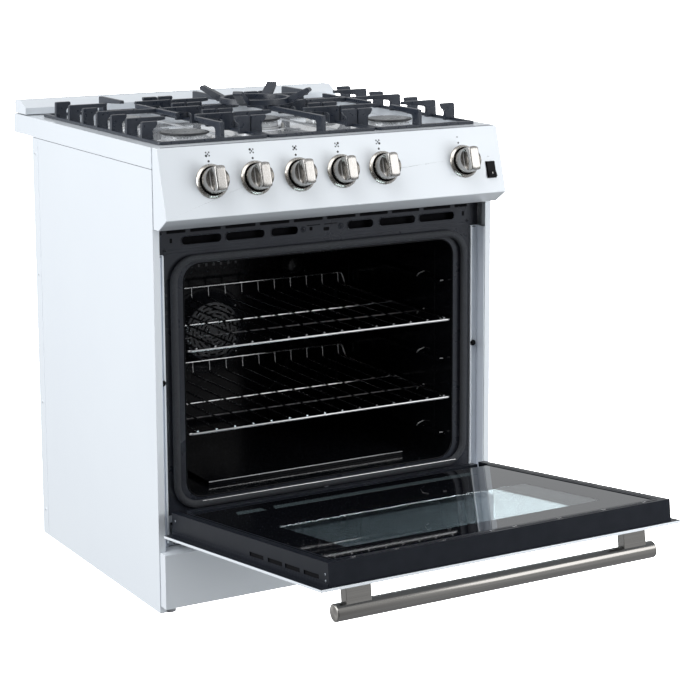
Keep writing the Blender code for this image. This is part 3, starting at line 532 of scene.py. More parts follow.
def grate(name, middle):
    """One cast grate: its rim and its fingers."""
    low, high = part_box(name)
    left, right = low.x, high.x
    front, back = low.y - FRONT_Y, high.y - FRONT_Y
    width = 0.010
    parts = [prism([rounded((left, front), (right, back), 0.010, 4),
                    rounded((left + width, front + width), (right - width, back - width), 0.005, 4)],
                   RAIL_LOW, RAIL_HIGH)]
    for number, y in enumerate(FINGER_Y):
        reach = 0.084 if number % 2 else 0.034
        for edge, inward in ((left, 1), (right, -1)):
            outline = [(edge + inward * u, z) for u, z in finger_outline(reach)]
            parts.append(prism([outline], y - BAR / 2, y + BAR / 2, "y"))
    centre_y = FINGER_Y[3]
    end_reach = 0.235 if name == "grate_centre" else 0.117
    for edge, inward in ((front, 1), (back, -1)):
        outline = [(edge + inward * u, z) for u, z in finger_outline(end_reach)]
        parts.append(prism([outline], middle - BAR / 2, middle + BAR / 2, "x"))
    if name != "grate_centre":
        bottom, top = GRATE_TOP - BAR, GRATE_TOP - 0.0005
        parts.append(shape_box((left + 0.06, centre_y - 0.0042, bottom),
                               (right - 0.06, centre_y + 0.0042, top)))
        parts.append(shape_box((middle - 0.0042, centre_y - 0.10, bottom),
                               (middle + 0.0042, centre_y + 0.10, top)))
    make(name + "_casting", merged(parts), BODY, name, IRON, 0.0016,
         stands_for=[name])


for name, middle in (("grate_left", -0.222), ("grate_centre", 0.0), ("grate_right", 0.222)):
    grate(name, middle)


def wok_ring():
    """A cast ring with four sloping arms."""
    x, y, _ = BURNERS["centre"]
    low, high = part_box("wok_ring")
    ring, tip = 0.070, 0.120
    section = [(ring - 0.005, 0.001), (ring - 0.004, 0), (ring + 0.004, 0), (ring + 0.005, 0.001),
               (ring + 0.0042, 0.0112), (ring + 0.0032, 0.012), (ring - 0.0032, 0.012),
               (ring - 0.0042, 0.0112), (ring - 0.005, 0.001)]
    parts = [lathe(section, 64)]
    rise = high.z - low.z
    outline = [(ring - 0.003, 0.001), (ring + 0.010, 0.001), (tip - 0.001, rise - 0.0075),
               (tip, rise - 0.005), (tip - 0.003, rise - 0.0005), (tip - 0.007, rise),
               (ring - 0.003, 0.0105)]
    for number in range(4):
        arm = prism([outline], -0.010, 0.010, "y")
        parts.append(moved(arm, Matrix.Rotation(math.radians(45 + 90 * number), 4, "Z")))
    make("wok_ring_casting", merged(parts), BODY @ at(x, y, low.z), "wok_ring", IRON,
         0.0014, stands_for=["wok_ring"])


wok_ring()

# ---------------------------------------------------------------- burners


def burner(name, x, y, radius):
    base, cap = "burner_base_" + name, "burner_cap_" + name
    foot = radius - 0.004
    place = BODY @ at(x, y, 0)
    skirt = [(0.0165, 0.885), (0.0165, 0.8996), (foot, 0.8996), (foot + 0.0006, 0.9012),
             (foot - 0.0006, 0.9035), (foot - 0.004, 0.9046), (0.012, 0.9046), (0.012, 0.885),
             (0.0165, 0.885)]
    crown = [(0.012, 0.9045), (foot - 0.0020, 0.9045), (foot - 0.0014, 0.9056),
             (foot - 0.0016, 0.9116), (foot - 0.0018, 0.9117, 1.0), (foot - 0.0020, 0.9148, 1.0),
             (foot - 0.0028, 0.9156), (foot - 0.0052, 0.9156), (foot - 0.0062, 0.9132),
             (0.012, 0.9132), (0.012, 0.9045)]
    teeth = round(radius * 900)
    make(base + "_casting", merged([lathe(skirt, 72), lathe(crown, teeth=teeth, depth=0.0032)]),
         place, "range_body", ALLOY, angle=30, stands_for=[base])
    top = [(0.0004, 0.9206), (radius * 0.42, 0.9208), (radius * 0.78, 0.9213),
           (radius - 0.0062, 0.9215), (radius - 0.0040, 0.9212), (0.0004, 0.9172)]
    make(cap + "_face", lathe([*top, (0.0004, 0.9206)], 72), place, "cap_" + name, CAP,
         angle=50)
    rim = [(0.0004, 0.9138), (foot - 0.0072, 0.9138), (foot - 0.0066, 0.9158),
           (foot - 0.0010, 0.9160), (radius - 0.0026, 0.9172), (radius - 0.0004, 0.9180),
           (radius, 0.9190), (radius - 0.0004, 0.9201), (radius - 0.0018, 0.9208),
           (radius - 0.0044, 0.9210), (0.0004, 0.9168), (0.0004, 0.9138)]
    make(cap + "_rim", lathe(rim, 72), place, "cap_" + name, CAP_EDGE, angle=50,
         stands_for=[cap])
    angle = math.radians(200 if x > 0 else 340)
    stub = lathe([(0.0008, 0.8992), (0.0032, 0.8992), (0.0032, 0.9060), (0.0022, 0.9085),
                  (0.0008, 0.9085)], 20)
    spot = at(x + (radius + 0.004) * math.cos(angle), y + (radius + 0.004) * math.sin(angle), 0)
    make(base + "_igniter", stub, BODY @ spot, "range_body", CERAMIC, bevel=0.0003)
    pin = lathe([(0.0006, 0.9083), (0.0006, 0.9122), (0.0002, 0.9126)], 12)
    make(base + "_igniter_pin", pin, BODY @ spot, "range_body", CHROME)
    clip = sweep([(-0.0035, 0, 0.8997), (0.0035, 0, 0.8997)], 0.0006, sides=8)
    make(base + "_igniter_clip", clip, BODY @ spot, "range_body", CHROME)


for name, (x, y, radius) in BURNERS.items():
    burner(name, x, y, radius)

deck_low, deck_high = (-0.3515, 0.0285), (0.3515, 0.6055)
wells = [circle(0.0185, 32, x, y) for x, y, _ in BURNERS.values()]
make("cooktop_deck", prism([rounded(deck_low, deck_high, 0.012), *wells], DECK + 0.0001,
                           DECK + 0.0004), BODY, "range_body", DECK_ENAMEL)
for name, (x, y, radius) in BURNERS.items():
    dish = [(radius + 0.012, 0), (radius + 0.0105, 0.0012), (radius + 0.0085, 0.0014),
            (radius + 0.0070, 0.0002), (radius + 0.0070, 0), (radius + 0.012, 0)]
    make("deck_ring_" + name, lathe(dish, 72), BODY @ at(x, y, DECK + 0.0004), "range_body",
         DECK_ENAMEL)
for x in (-0.1215, 0.1215):
    rib = sweep([(x, 0.05, DECK - 0.0012), (x, 0.585, DECK - 0.0012)], 0.0040, sides=16)
    make(f"deck_rib_{'left' if x < 0 else 'right'}", rib, BODY, "range_body", DECK_ENAMEL)

# ---------------------------------------------------------------- control panel


DISH_RADIUS, GRIP_HALF, KNOB_LIFT = 0.0245, 0.0110, 0.0055


def knob_height(x, y):
    """Height of the knob's front at a point: a tall grip bar between two hollowed halves."""
    radius, grip = DISH_RADIUS, GRIP_HALF
    low, rim, top = 0.0190, 0.0262, 0.0430
    if abs(x) <= grip:
        edge = min(1.0, (grip - abs(x)) / 0.0028)
        end = min(1.0, abs(y) / math.sqrt(radius ** 2 - x ** 2))
        return top - 0.0024 * (1 - math.sqrt(max(0.0, 1 - (1 - edge) ** 2))) - 0.0022 * end ** 10
    out = (abs(x) - grip) / (radius - grip)
    reach = math.sqrt(max(radius ** 2 - x ** 2, 1e-9))
    across = min(1.0, abs(y) / reach)
    bowl = (1 - out ** 2.2) * (1 - across ** 5)
    fillet = max(0.0, 1 - (abs(x) - grip) / 0.0020)
    return rim - (rim - low) * bowl + 0.0032 * fillet ** 2


def knob_shape():
    """A round knob: its front follows knob_height, and its side steps down to the foot."""
    radius, grip, foot = DISH_RADIUS, GRIP_HALF, KNOB_LIFT
    inner = [grip * s for s in (0.0, 0.3, 0.6)]
    inner += [grip - d for d in (0.0028, 0.0021, 0.0014, 0.0008, 0.0004, 0.0001)]
    outer = [grip + d for d in (0.00005, 0.0004, 0.0008, 0.0013, 0.0020, 0.0032)]
    outer += [grip + (radius - grip) * s for s in (0.35, 0.5, 0.65, 0.8, 0.9, 0.96, 0.985, 0.999)]
    half = inner + outer
    stations = [-x for x in reversed(half[1:])] + half
    made = bmesh.new()
    lanes = 20
    columns = []
    for x in stations:
        reach = math.sqrt(radius ** 2 - x ** 2)
        column = []
        for lane in range(lanes + 1):
            y = -reach * math.cos(math.pi * lane / lanes)
            column.append(made.verts.new((x, y, knob_height(x, y))))
        columns.append(column)
    for first, second in zip(columns, columns[1:]):
        for lane in range(lanes):
            made.faces.new((first[lane], first[lane + 1], second[lane + 1], second[lane]))
    edge = [c[0] for c in columns] + columns[-1][1:-1] + [c[-1] for c in reversed(columns)]
    edge += list(reversed(columns[0][1:-1]))
    heights = (0.0225, 0.0130, foot + 0.0008, foot)
    radii = (0.0250, 0.0255, 0.0255, 0.0247)
    above = edge
    for height, wide in zip(heights, radii):
        ring = []
        for corner in edge:
            out = Vector((corner.co.x, corner.co.y, 0)).normalized() * wide
            level = min(height, corner.co.z - 0.0008)
            ring.append(made.verts.new((out.x, out.y, level)))
        for number, corner in enumerate(ring):
            before = ring[number - 1]
            made.faces.new((above[number - 1], above[number], corner, before))
        above = ring
    made.faces.new(above)
    bmesh.ops.remove_doubles(made, verts=made.verts, dist=0.00002)
    return made


def knob_glint_beads():
    """Near-white beads where the grip bar meets the hollows: a painted highlight along the fillet."""
    out = GRIP_HALF + 0.0013
    beads = []
    for side in (-1, 1):
        line = []
        for step in range(-10, 11):
            y = 0.00205 * step
            line.append((side * out, y, knob_height(out, y) + 0.0002))
        beads.append(sweep(line, 0.0009, sides=8))
    return merged(beads)


bezel_section = [(0.0335, 0.0002), (0.0335, 0.0012), (0.0328, 0.0022), (0.0295, 0.0062),
                 (0.0286, 0.0066), (0.0280, 0.0060), (0.0278, 0.0030), (0.0278, 0.0002),
                 (0.0335, 0.0002)]
for number, x in enumerate(KNOB_X, start=1):
    centre = FACE @ at(x, -KNOB_DROP, 0)
    make(f"knob_{number}_body", knob_shape(), centre, f"knob_{number}", KNOB_STEEL,
         angle=42, stands_for=[f"knob_{number}"])
    make(f"knob_{number}_beads", knob_glint_beads(), centre, f"knob_{number}", PAINTED_GLINT,
         angle=60)
    make(f"knob_bezel_{number}", lathe(bezel_section, 96), centre, "range_body", BEZEL_STEEL,
         angle=40)
    # a near-black disc under the knob: painted shadow in the gap between bezel and knob
    well = prism([circle(0.0279, 48), circle(0.0057, 24)], 0.0002, 0.0006)
    make(f"knob_painted_shadow_{number}", well, centre, "range_body", DARK)


def disc(radius):
    """A thin printed dot."""
    return lathe([(0.0001, 0.00005), (radius, 0.00005), (radius * 0.96, 0.0003), (0.0001, 0.0003)], 20)


MARK_SPOTS = ((-1, -1), (-1, 1), (1, 1), (1, -1), (0, 0))
MARK_DARK = ((-1, -1), (-1, 1), (0, 0), (1, 1), (1, -1))
MARK_PITCH, MARK_DROP, DOT_DROP = 0.0032, 0.0168, 0.0305
for number, x in enumerate(KNOB_X[:5], start=1):
    middle = x - 0.001 * (number + 1)
    dots = {(u, v): at(middle + MARK_PITCH * u, MARK_PITCH * v - MARK_DROP, 0) for u, v in MARK_SPOTS}
    own = dots.pop(MARK_DARK[number - 1])
    pale = [moved(disc(0.0016), place) for place in dots.values()]
    make(f"burner_mark_{number}", merged(pale), FACE, "range_body", PALE_PRINT)
    make(f"burner_mark_{number}_own", moved(disc(0.0024), own), FACE, "range_body", PRINT)
    make(f"off_dot_{number}", moved(disc(0.0022), at(middle + 0.0005, -DOT_DROP, 0)), FACE,
         "range_body", PRINT)
make("off_dot_6", moved(disc(0.0019), at(0.2815, -DOT_DROP, 0)), FACE, "range_body", PRINT)
make("oven_mark", moved(prism([rounded((-0.0016, -0.0012), (0.0016, 0.0012), 0.0004, 2),
                               rounded((-0.0009, -0.0006), (0.0009, 0.0006), 0.0002, 2)],
                              0.00005, 0.0003), at(0.2805, -0.0185, 0)), FACE, "range_body",
     PALE_PRINT)
make("lamp_mark", moved(sweep([(-0.0016, 0, 0.0002), (0, -0.0012, 0.0002), (0.0016, 0, 0.0002)],
                              0.0003, sides=6), at(0.348, -0.062, 0)), FACE, "range_body",
     PALE_PRINT)
rocker_rim = prism([rounded((-0.0112, -0.0172), (0.0112, 0.0172), 0.0015, 3),
                    rounded((-0.0098, -0.0158), (0.0098, 0.0158), 0.0006, 2)], 0.0001, 0.0011)
make("rocker_rim", moved(rocker_rim, at(0.350, -0.090, 0)), FACE, "range_body", PLASTIC,
     0.0003)
tilt = FACE @ at(0.350, -0.090, 0) @ Matrix.Rotation(math.radians(-6), 4, "X")
make("rocker_mark", prism([rounded((-0.0006, -0.0100), (0.0006, -0.0060), 0.0004, 2)], 0.0046, 0.0050),
     tilt, "rocker", CERAMIC)
# a dark grey rod along the panel's top edge: painted shade in the fold between panel and cooktop
seam = sweep([(-0.371, -0.0188, 0.9152), (0.371, -0.0188, 0.9152)], 0.0011, sides=8)
make("panel_top_seam_shade", seam, BODY, "range_body", SEAM_SHADE)

# ---------------------------------------------------------------- door


def handle():
    """A round bar on two posts, with end caps."""
    y, z, radius, half = -0.0765, 0.721, 0.016, 0.338
    along = DOOR @ Matrix.Translation((0, y, z)) @ Matrix.Rotation(math.radians(90), 4, "Y")
    bar = [(radius - 0.0016, -half + 0.0008), (radius - 0.0004, -half + 0.0012),
           (radius, -half + 0.0028), (radius, half - 0.0028), (radius - 0.0004, half - 0.0012),
           (radius - 0.0016, half - 0.0008)]
    make("handle_bar", lathe(bar, 96), along, "door", STEEL, angle=60,
         stands_for=["door_handle"])
    for end, name in SIDES:
        cap = [(0.0002, 0.0), (radius - 0.0030, 0.0), (radius - 0.0020, -0.0003),
               (radius - 0.0016, -0.0012), (0.0002, -0.0012)]
        flip = along @ at(0, 0, end * half) @ Matrix.Rotation(0 if end > 0 else math.pi, 4, "X")
        make("handle_end_" + name, lathe(cap, 96), flip, "door", END_STEEL,
             angle=60)
        x = end * 0.292
        post = shape_box((x - 0.025, y + 0.006, z - 0.010), (x + 0.025, -0.0294, z + 0.010))
        make("handle_post_" + name, post, DOOR, "door", STEEL, 0.0009)
        foot = prism([rounded((x - 0.0262, z - 0.0112), (x + 0.0262, z + 0.0112), 0.003),
                      rounded((x - 0.024, z - 0.009), (x + 0.024, z + 0.009), 0.002)],
                     -0.0297, -0.0291, "y")
        make("handle_gasket_" + name, foot, DOOR, "door", PLASTIC)


handle()

GLASS_HALF, GLASS_LOW, GLASS_HIGH = 0.3375, 0.1765, 0.7315
GLASS_BACK, GLASS_FACE = 0.0129, 0.0169
WINDOW = rounded((-0.272, 0.408), (0.272, 0.660), 0.006, 3)
border = prism([rounded((-GLASS_HALF, GLASS_LOW), (GLASS_HALF, GLASS_HIGH), 0.004, 3), WINDOW],
               GLASS_BACK, GLASS_FACE, "y")
make("inner_glass_border", border, DOOR, "door", FRIT, 0.0004,
     stands_for=["door_inner_glass"])
make("inner_glass_window", prism([WINDOW], GLASS_BACK + 0.0001, GLASS_FACE - 0.00005, "y"), DOOR,
     "door", GLASS)
for name, start, end in (("short", -0.266, -0.214), ("long", -0.186, 0.268)):
    strip = prism([[(start, 0.220), (end, 0.220), (end, 0.2475), (start - 0.010, 0.2475)]],
                  GLASS_FACE + 0.00005, GLASS_FACE + 0.0002, "y")
    make("glass_band_" + name, strip, DOOR, "door", BAND)

CLIPS = (-0.306, -0.221, -0.126, -0.026, 0.022, 0.118, 0.216, 0.307)
strips, clips = [], []
for first, second in zip((-0.335, *CLIPS), (*CLIPS, 0.335)):
    if second - first > 0.06:
        strips.append(shape_box((first + 0.008, 0.0181, 0.7395), (second - 0.008, 0.0186, 0.7418)))
        strips.append(shape_box((first + 0.008, 0.0181, 0.7462), (second - 0.008, 0.0188, 0.7480)))
for x in CLIPS:
    clips.append(shape_box((x - 0.004, 0.0181, 0.7400), (x - 0.001, 0.0190, 0.7475)))
    clips.append(shape_box((x + 0.001, 0.0181, 0.7420), (x + 0.004, 0.0193, 0.7455)))
make("glass_retainer", merged(strips), DOOR, "door", RETAINER, 0.0003)
make("glass_retainer_clips", merged(clips), DOOR, "door", CHROME, 0.0003)
# thin near-black strips: painted shade in the grooves beside and above the glass
grooves = [shape_box((-0.338, 0.01795, 0.7425), (0.338, 0.0181, 0.7455))]
for side in (-1, 1):
    edge = side * 0.3435
    grooves.append(shape_box((edge - 0.0011, 0.01795, 0.155), (edge + 0.0011, 0.0181, 0.736)))
make("glass_frame_groove_shade", merged(grooves), DOOR, "door", DARK)


def screw(radius, height):
    """A pan head, pointing along +Z."""
    return lathe([(0.0002, 0), (radius, 0), (radius, height * 0.4), (radius * 0.8, height * 0.85),
                  (radius * 0.5, height), (0.0002, height)], 24)


def screws(name, body, places, space, toward, paint=ZINC, radius=0.004, height=0.0016):
    """Screw heads, one at each place, with raised near-black crosses: painted shade for their cross
    cuts.
    """
    heads, crosses = [], []
    turn = {"-y": FORWARD, "z": Matrix.Identity(4),
            "+y": Matrix.Rotation(math.radians(-90), 4, "X"),
            "-x": Matrix.Rotation(math.radians(-90), 4, "Y"),
            "+x": Matrix.Rotation(math.radians(90), 4, "Y")}[toward]
    for number, place in enumerate(places):
        spot = Matrix.Translation(place) @ turn @ Matrix.Rotation(0.5 * number, 4, "Z")
        heads.append(moved(screw(radius, height), spot))
        arm, thin = radius * 0.5, radius * 0.12
        crosses.append(moved(shape_box((-arm, -thin, height), (arm, thin, height + 0.00015)), spot))
        crosses.append(moved(shape_box((-thin, -arm, height), (thin, arm, height + 0.00014)), spot))
    make(name, merged(heads), space, body, paint, angle=40)
    # the crosses are painted shade standing for the recessed cuts
    make(name + "_slots", merged(crosses), space, body, DARK)


for side, name in SIDES:
    toward = "-x" if side < 0 else "+x"
    edge = side * 0.360
    screws("door_side_screws_" + name, "door",
           [(edge, -0.014, 0.742), (edge, -0.003, 0.742), (edge, 0.004, 0.146)],
           DOOR, toward, ZINC, 0.0022, 0.0007)
    inner = sorted((side * 0.3535, side * 0.3580))
    make("door_vent_shade_" + name, shape_box((inner[0], -0.0180, 0.455), (inner[1], -0.0040, 0.725)),
         DOOR, "door", DARK, 0.0003)
    step = shape_box((min(edge, edge + side * 0.0012), -0.0236, 0.134),
                     (max(edge, edge + side * 0.0012), -0.0180, 0.752))
    make("door_core_flange_" + name, step, DOOR, "door", SATIN_BLACK, 0.0004)
margin = prism([rectangle((-0.3788, 0.1303), (0.3788, 0.7587)),
                rectangle((-0.3612, 0.1312), (0.3612, 0.7548))], -0.0239, -0.0234, "y")
make("door_skin_backing", margin, DOOR, "door", SATIN_BLACK)

# ---------------------------------------------------------------- gasket


def gasket():
    low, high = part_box("door_gasket")
    half = 0.0075
    route = rounded((low.x + half, low.z + half), (high.x - half, high.z - half), 0.0445, 12)
    middle_y = high.y - 0.0060
    path = []
    for first, second in zip(route, route[1:] + route[:1]):
        run = math.dist(first, second)
        pieces = max(1, round(run / 0.02))
        for step in range(pieces):
            t = step / pieces
            path.append((first[0] + (second[0] - first[0]) * t, middle_y,
                         first[1] + (second[1] - first[1]) * t))
    rope = make("gasket_rope", sweep(path, half, closed=True, sides=16, squeeze=0.78, up=(0, 1, 0)),
                WORLD, "range_body", BRAID, angle=80, stands_for=["door_gasket"])
    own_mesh(rope)
    clip = shape_box((-0.004, low.y + 0.0004, low.z - 0.001), (0.004, high.y, low.z + 0.011))
    joint = make("gasket_joint_clip", clip, WORLD, "range_body", ZINC, 0.0006)
    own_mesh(joint)


gasket()

# ---------------------------------------------------------------- front frame and columns

SLOTS = [(0.056, 0.116), (0.130, 0.215), (0.224, 0.309)]
rims = []
for inner, outer in SLOTS:
    for side in (-1, 1):
        ends = sorted((side * inner, side * outer))
        outline = rounded((ends[0], 0.7195), (ends[1], 0.7365), 0.0075, 6)
        rims.append(sweep([(x, FRAME_Y - 0.0002, z) for x, z in outline], 0.0009, closed=True,
                          sides=8))
make("frame_slot_rims", merged(rims), BODY, "range_body", FRAME_BLACK, angle=60)
backing = shape_box((-0.330, FRAME_Y + 0.016, 0.712), (0.330, FRAME_Y + 0.018, 0.742))
make("frame_slot_shade", backing, BODY, "range_body", DARK, 0.0004)
screws("frame_screws", "range_body",
       [(-0.044, FRAME_Y, 0.728), (0.041, FRAME_Y, 0.728), (-0.344, FRAME_Y, 0.711),
        (0.342, FRAME_Y, 0.714), (-0.352, FRAME_Y, 0.745), (0.352, FRAME_Y, 0.745)],
       BODY, "-y", FRAME_BLACK)
ring_places = ((-0.044, 0.728), (0.041, 0.728))
rings = [moved(lathe([(0.0048, 0), (0.0056, 0.0005), (0.0064, 0), (0.0048, 0)], 32),
               Matrix.Translation((x, FRAME_Y, z)) @ FORWARD)
         for x, z in ring_places]
make("frame_screw_rings", merged(rings), BODY, "range_body", FRAME_BLACK, angle=60)
# near-black patches just proud of the frame: painted shade for its holes and tab slots
holes = [prism([rounded((-0.0300, 0.7245), (-0.0235, 0.7315), 0.001, 2)], 0, 0.0002, "y"),
         prism([rounded((0.0015, 0.7215), (0.0145, 0.7285), 0.002, 3)], 0, 0.0002, "y"),
         prism([rectangle((-0.036, 0.7340), (-0.006, 0.7356))], 0, 0.0002, "y"),
         prism([rectangle((0.003, 0.7340), (0.033, 0.7356))], 0, 0.0002, "y"),
         prism([rounded((-0.3335, 0.7255), (-0.3285, 0.7345), 0.001, 2)], 0, 0.0002, "y"),
         prism([rounded((0.3285, 0.7255), (0.3335, 0.7345), 0.001, 2)], 0, 0.0002, "y")]
tab_x = [-0.295 + 0.075 * n for n in range(9)]
for left, right in zip([-0.345, *tab_x], [*tab_x, 0.345]):
    holes.append(prism([rounded((left + 0.005, 0.7440), (right - 0.005, 0.7500), 0.0015, 2)],
                       0, 0.0002, "y"))
make("frame_hole_shade", moved(merged(holes), Matrix.Translation((0, FRAME_Y - 0.0002, 0))), BODY,
     "range_body", DARK)
creases = [sweep(curved([(-0.362, FRAME_Y, 0.7010), (-0.346, FRAME_Y, 0.7010), (-0.330, FRAME_Y, 0.7060),
                         (0.330, FRAME_Y, 0.7060), (0.346, FRAME_Y, 0.7010), (0.362, FRAME_Y, 0.7010)],
                        0.006), 0.0008, sides=8, squeeze=0.6, up=(0, 1, 0))]
creases.append(sweep([(-0.346, FRAME_Y, 0.7120), (0.346, FRAME_Y, 0.7120)], 0.0006, sides=8,
                     squeeze=0.6, up=(0, 1, 0)))
make("frame_creases", merged(creases), BODY, "range_body", FRAME_BLACK, angle=60)
mouth = rounded((-0.306, 0.217), (0.306, 0.681), 0.035, 8)
lip = sweep([(x, FRAME_Y + 0.0005, z) for x, z in mouth], 0.0016, closed=True, sides=10)
make("mouth_lip", lip, BODY, "range_body", BLACK, angle=80)
for side, name in SIDES:
    inner, outer = sorted((side * 0.3482, side * 0.3522))
    make("column_edge_" + name, shape_box((inner, 0.0245, 0.135), (outer, 0.0278, 0.7025)), BODY,
         "range_body", ENAMEL, 0.0006)
    stud = lathe([(0.0002, 0), (0.0060, 0), (0.0060, 0.0020), (0.0045, 0.0042), (0.0002, 0.0048)], 32)
    make("door_bumper_" + name, moved(stud, Matrix.Translation((side * 0.3550, 0.0245, 0.455))
                                      @ FORWARD),
         BODY, "range_body", PLASTIC)
    x = side * 0.336
    plate = prism([rounded((x - 0.0145, 0.1290), (x + 0.0105, 0.1890), 0.002, 2),
                   rectangle((x - 0.0085, 0.1360), (x + 0.0085, 0.1750))], FRAME_Y - 0.0014,
                  FRAME_Y - 0.0002, "y")
    make("hinge_receiver_" + name, plate, BODY, "range_body", ZINC, 0.0003)
    screws("hinge_screws_" + name, "range_body",
           [(x - 0.001, FRAME_Y - 0.0014, 0.1325), (x - 0.001, FRAME_Y - 0.0014, 0.1822)], BODY, "-y",
           CHROME, 0.0028, 0.0012)
    claw = prism([[(0.0205, 0.1685), (0.0262, 0.1685), (0.0262, 0.1800), (0.0225, 0.1780),
                   (0.0205, 0.1730)]], x - 0.0030, x + 0.0030, "x")
    make("hinge_claw_" + name, claw, BODY, "range_body", ZINC, 0.0006)

# ---------------------------------------------------------------- inside the oven


def fan_grille():
    """A pressed cover with rings of short curved slots."""
    spokes = 144
    bounds = [0.006, 0.012, 0.0155, 0.021, 0.0245, 0.030, 0.0335, 0.039, 0.0425, 0.048, 0.0515,
              0.057, 0.0605, 0.066, 0.070, 0.078, 0.0845, 0.0860]
    heights = [0.029] * 13 + [0.0285, 0.0240, 0.0100, 0.0020, 0.0005]
    made = bmesh.new()
    rings = []
    for radius, height in zip(bounds, heights):
        rings.append([made.verts.new((radius * math.cos(math.tau * n / spokes),
                                      radius * math.sin(math.tau * n / spokes), height))
                      for n in range(spokes)])
    for ring, (first, second) in enumerate(zip(rings, rings[1:])):
        slot_ring = ring in (1, 3, 5, 7, 9, 11)
        slots = {1: 4, 3: 8, 5: 12, 7: 12, 9: 16, 11: 18}.get(ring, 1)
        for number in range(spokes):
            share = (number * slots / spokes + 0.5 * (ring % 4 == 1)) % 1
            if slot_ring and share < 0.68:
                continue
            after = (number + 1) % spokes
            made.faces.new((first[number], first[after], second[after], second[number]))
    made.faces.new(rings[0])
    shell = bmesh.ops.extrude_face_region(made, geom=made.faces[:])["geom"]
    corners = [v for v in shell if isinstance(v, bmesh.types.BMVert)]
    bmesh.ops.translate(made, verts=corners, vec=(0, 0, 0.0012))
    return made


fan_place = BODY @ Matrix.Translation((FAN[0] - 0.004, OVEN_BACK, FAN[1] + 0.003)) @ FORWARD
make("fan_grille", fan_grille(), fan_place, "range_body", GRILLE, angle=25,
     stands_for=["fan_cover"])
rings = [lathe([(r - 0.0014, 0.0001), (r, 0.0018), (r + 0.0014, 0.0001), (r - 0.0014, 0.0001)], 96)
         for r in (0.0885, 0.0960)]
make("fan_surround", merged(rings), fan_place, "range_body", GRILLE, angle=60)
screws("fan_screws", "range_body",
       [(FAN[0] + 0.081 * math.cos(math.radians(a)), OVEN_BACK - 0.007,
         FAN[1] + 0.081 * math.sin(math.radians(a))) for a in (40, 140, 220, 320)],
       BODY, "-y", CHROME, 0.0030, 0.0014)

wall = OVEN_BACK - 0.0002
embossed = []
for points, radius in (
        ([(-0.292, 0.575), (-0.160, 0.628), (0.000, 0.628), (0.150, 0.575), (0.200, 0.440),
          (0.170, 0.300), (0.060, 0.245)], 0.055),
        ([(-0.292, 0.330), (-0.200, 0.262), (-0.060, 0.240)], 0.050)):
    embossed.append(sweep(curved([(x, wall, z) for x, z in points], radius, 8), 0.0022, sides=8,
                          squeeze=0.6, up=(0, 1, 0)))
for low_corner, high_corner in (((-0.285, 0.636), (-0.205, 0.656)), ((-0.165, 0.640), (-0.085, 0.660))):
    outline = rounded(low_corner, high_corner, 0.008, 5)
    embossed.append(sweep([(x, wall, z) for x, z in outline], 0.0014, closed=True, sides=8))
make("rear_wall_embossing", merged(embossed), BODY, "range_body", BLACK, angle=60)
louvres = [shape_box((-0.060 + 0.018 * n, OVEN_BACK - 0.0012, 0.575),
                     (-0.054 + 0.018 * n, OVEN_BACK - 0.0001, 0.600)) for n in range(7)]
make("rear_wall_louvres", merged(louvres), BODY, "range_body", GRILLE, 0.0004)
collar = lathe([(0.0305, 0), (0.0345, 0), (0.0345, 0.004), (0.0325, 0.006), (0.0305, 0.006),
                (0.0305, 0)], 48)
make("lamp_collar", collar, BODY @ Matrix.Translation((0.190, OVEN_BACK - 0.0002, 0.560)) @ FORWARD,
     "range_body", BLACK)
for side, name in SIDES:
    wall_x = side * 0.3078
    x = side * 0.2942
    guides = []
    for level in RACK_LEVELS:
        guides.append(sweep([(x + side * 0.0015, 0.0592, level - 0.0010),
                             (x + side * 0.0085, 0.0592, level - 0.0010)], 0.0016, sides=8))
        hook = curved([(wall_x - side * 0.0010, 0.140, level + 0.006), (x, 0.142, level + 0.002),
                       (x, 0.150, level - 0.006), (wall_x - side * 0.0010, 0.156, level - 0.010)], 0.003)
        guides.append(sweep(hook, 0.0011, sides=8))
    # the guide ends are painted near white: painted glints on the side walls
    make("rack_guide_ends_" + name, merged(guides), BODY, "range_body", PAINTED_GLINT,
         angle=60)
    ribs = [sweep([(wall_x, 0.085, z), (wall_x, 0.480, z)], 0.0016, sides=8)
            for z in (0.302, 0.382, 0.465, 0.548, 0.628)]
    ribs += [sweep([(wall_x, y, 0.240), (wall_x, y, 0.650)], 0.0016, sides=8) for y in (0.100, 0.465)]
    make("side_wall_ribs_" + name, merged(ribs), BODY, "range_body", BLACK, angle=60)
panel_low, panel_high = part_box("oven_floor_panel")
lip = sweep([(panel_low.x, panel_low.y, panel_high.z - 0.001),
             (panel_high.x, panel_low.y, panel_high.z - 0.001)], 0.0014, sides=10)
make("floor_panel_lip", lip, WORLD, "range_body", CHROME)
mouth = sweep([(-0.285, 0.0032, 0.2160), (0.300, 0.0032, 0.2160)], 0.0008, sides=8)
make("liner_mouth_edge", mouth, BODY, "range_body", CHROME)


def element(name, z, radius, half, turns, front, back):
    """A heating tube folded into runs, with its clips."""
    points = []
    for number in range(turns + 1):
        x = -half + 2 * half * number / turns
        ends = (back, front) if number % 2 == 0 else (front, back)
        points += [(x, ends[0], z), (x, ends[1], z)]
    tube = sweep(curved(points, half / turns * 0.95, 6), radius, sides=12)
    make(name + "_tube", tube, BODY, "range_body", ELEMENT, angle=60,
         stands_for=[name])
    clips = [shape_box((-half - 0.012, y, z - radius - 0.001), (half + 0.012, y + 0.008, z - radius))
             for y in (front + 0.05, back - 0.07)]
    make(name + "_clips", merged(clips), BODY, "range_body", ELEMENT, 0.0003)


element("broil_burner", 0.664, 0.0055, 0.16, 3, 0.140, 0.512)

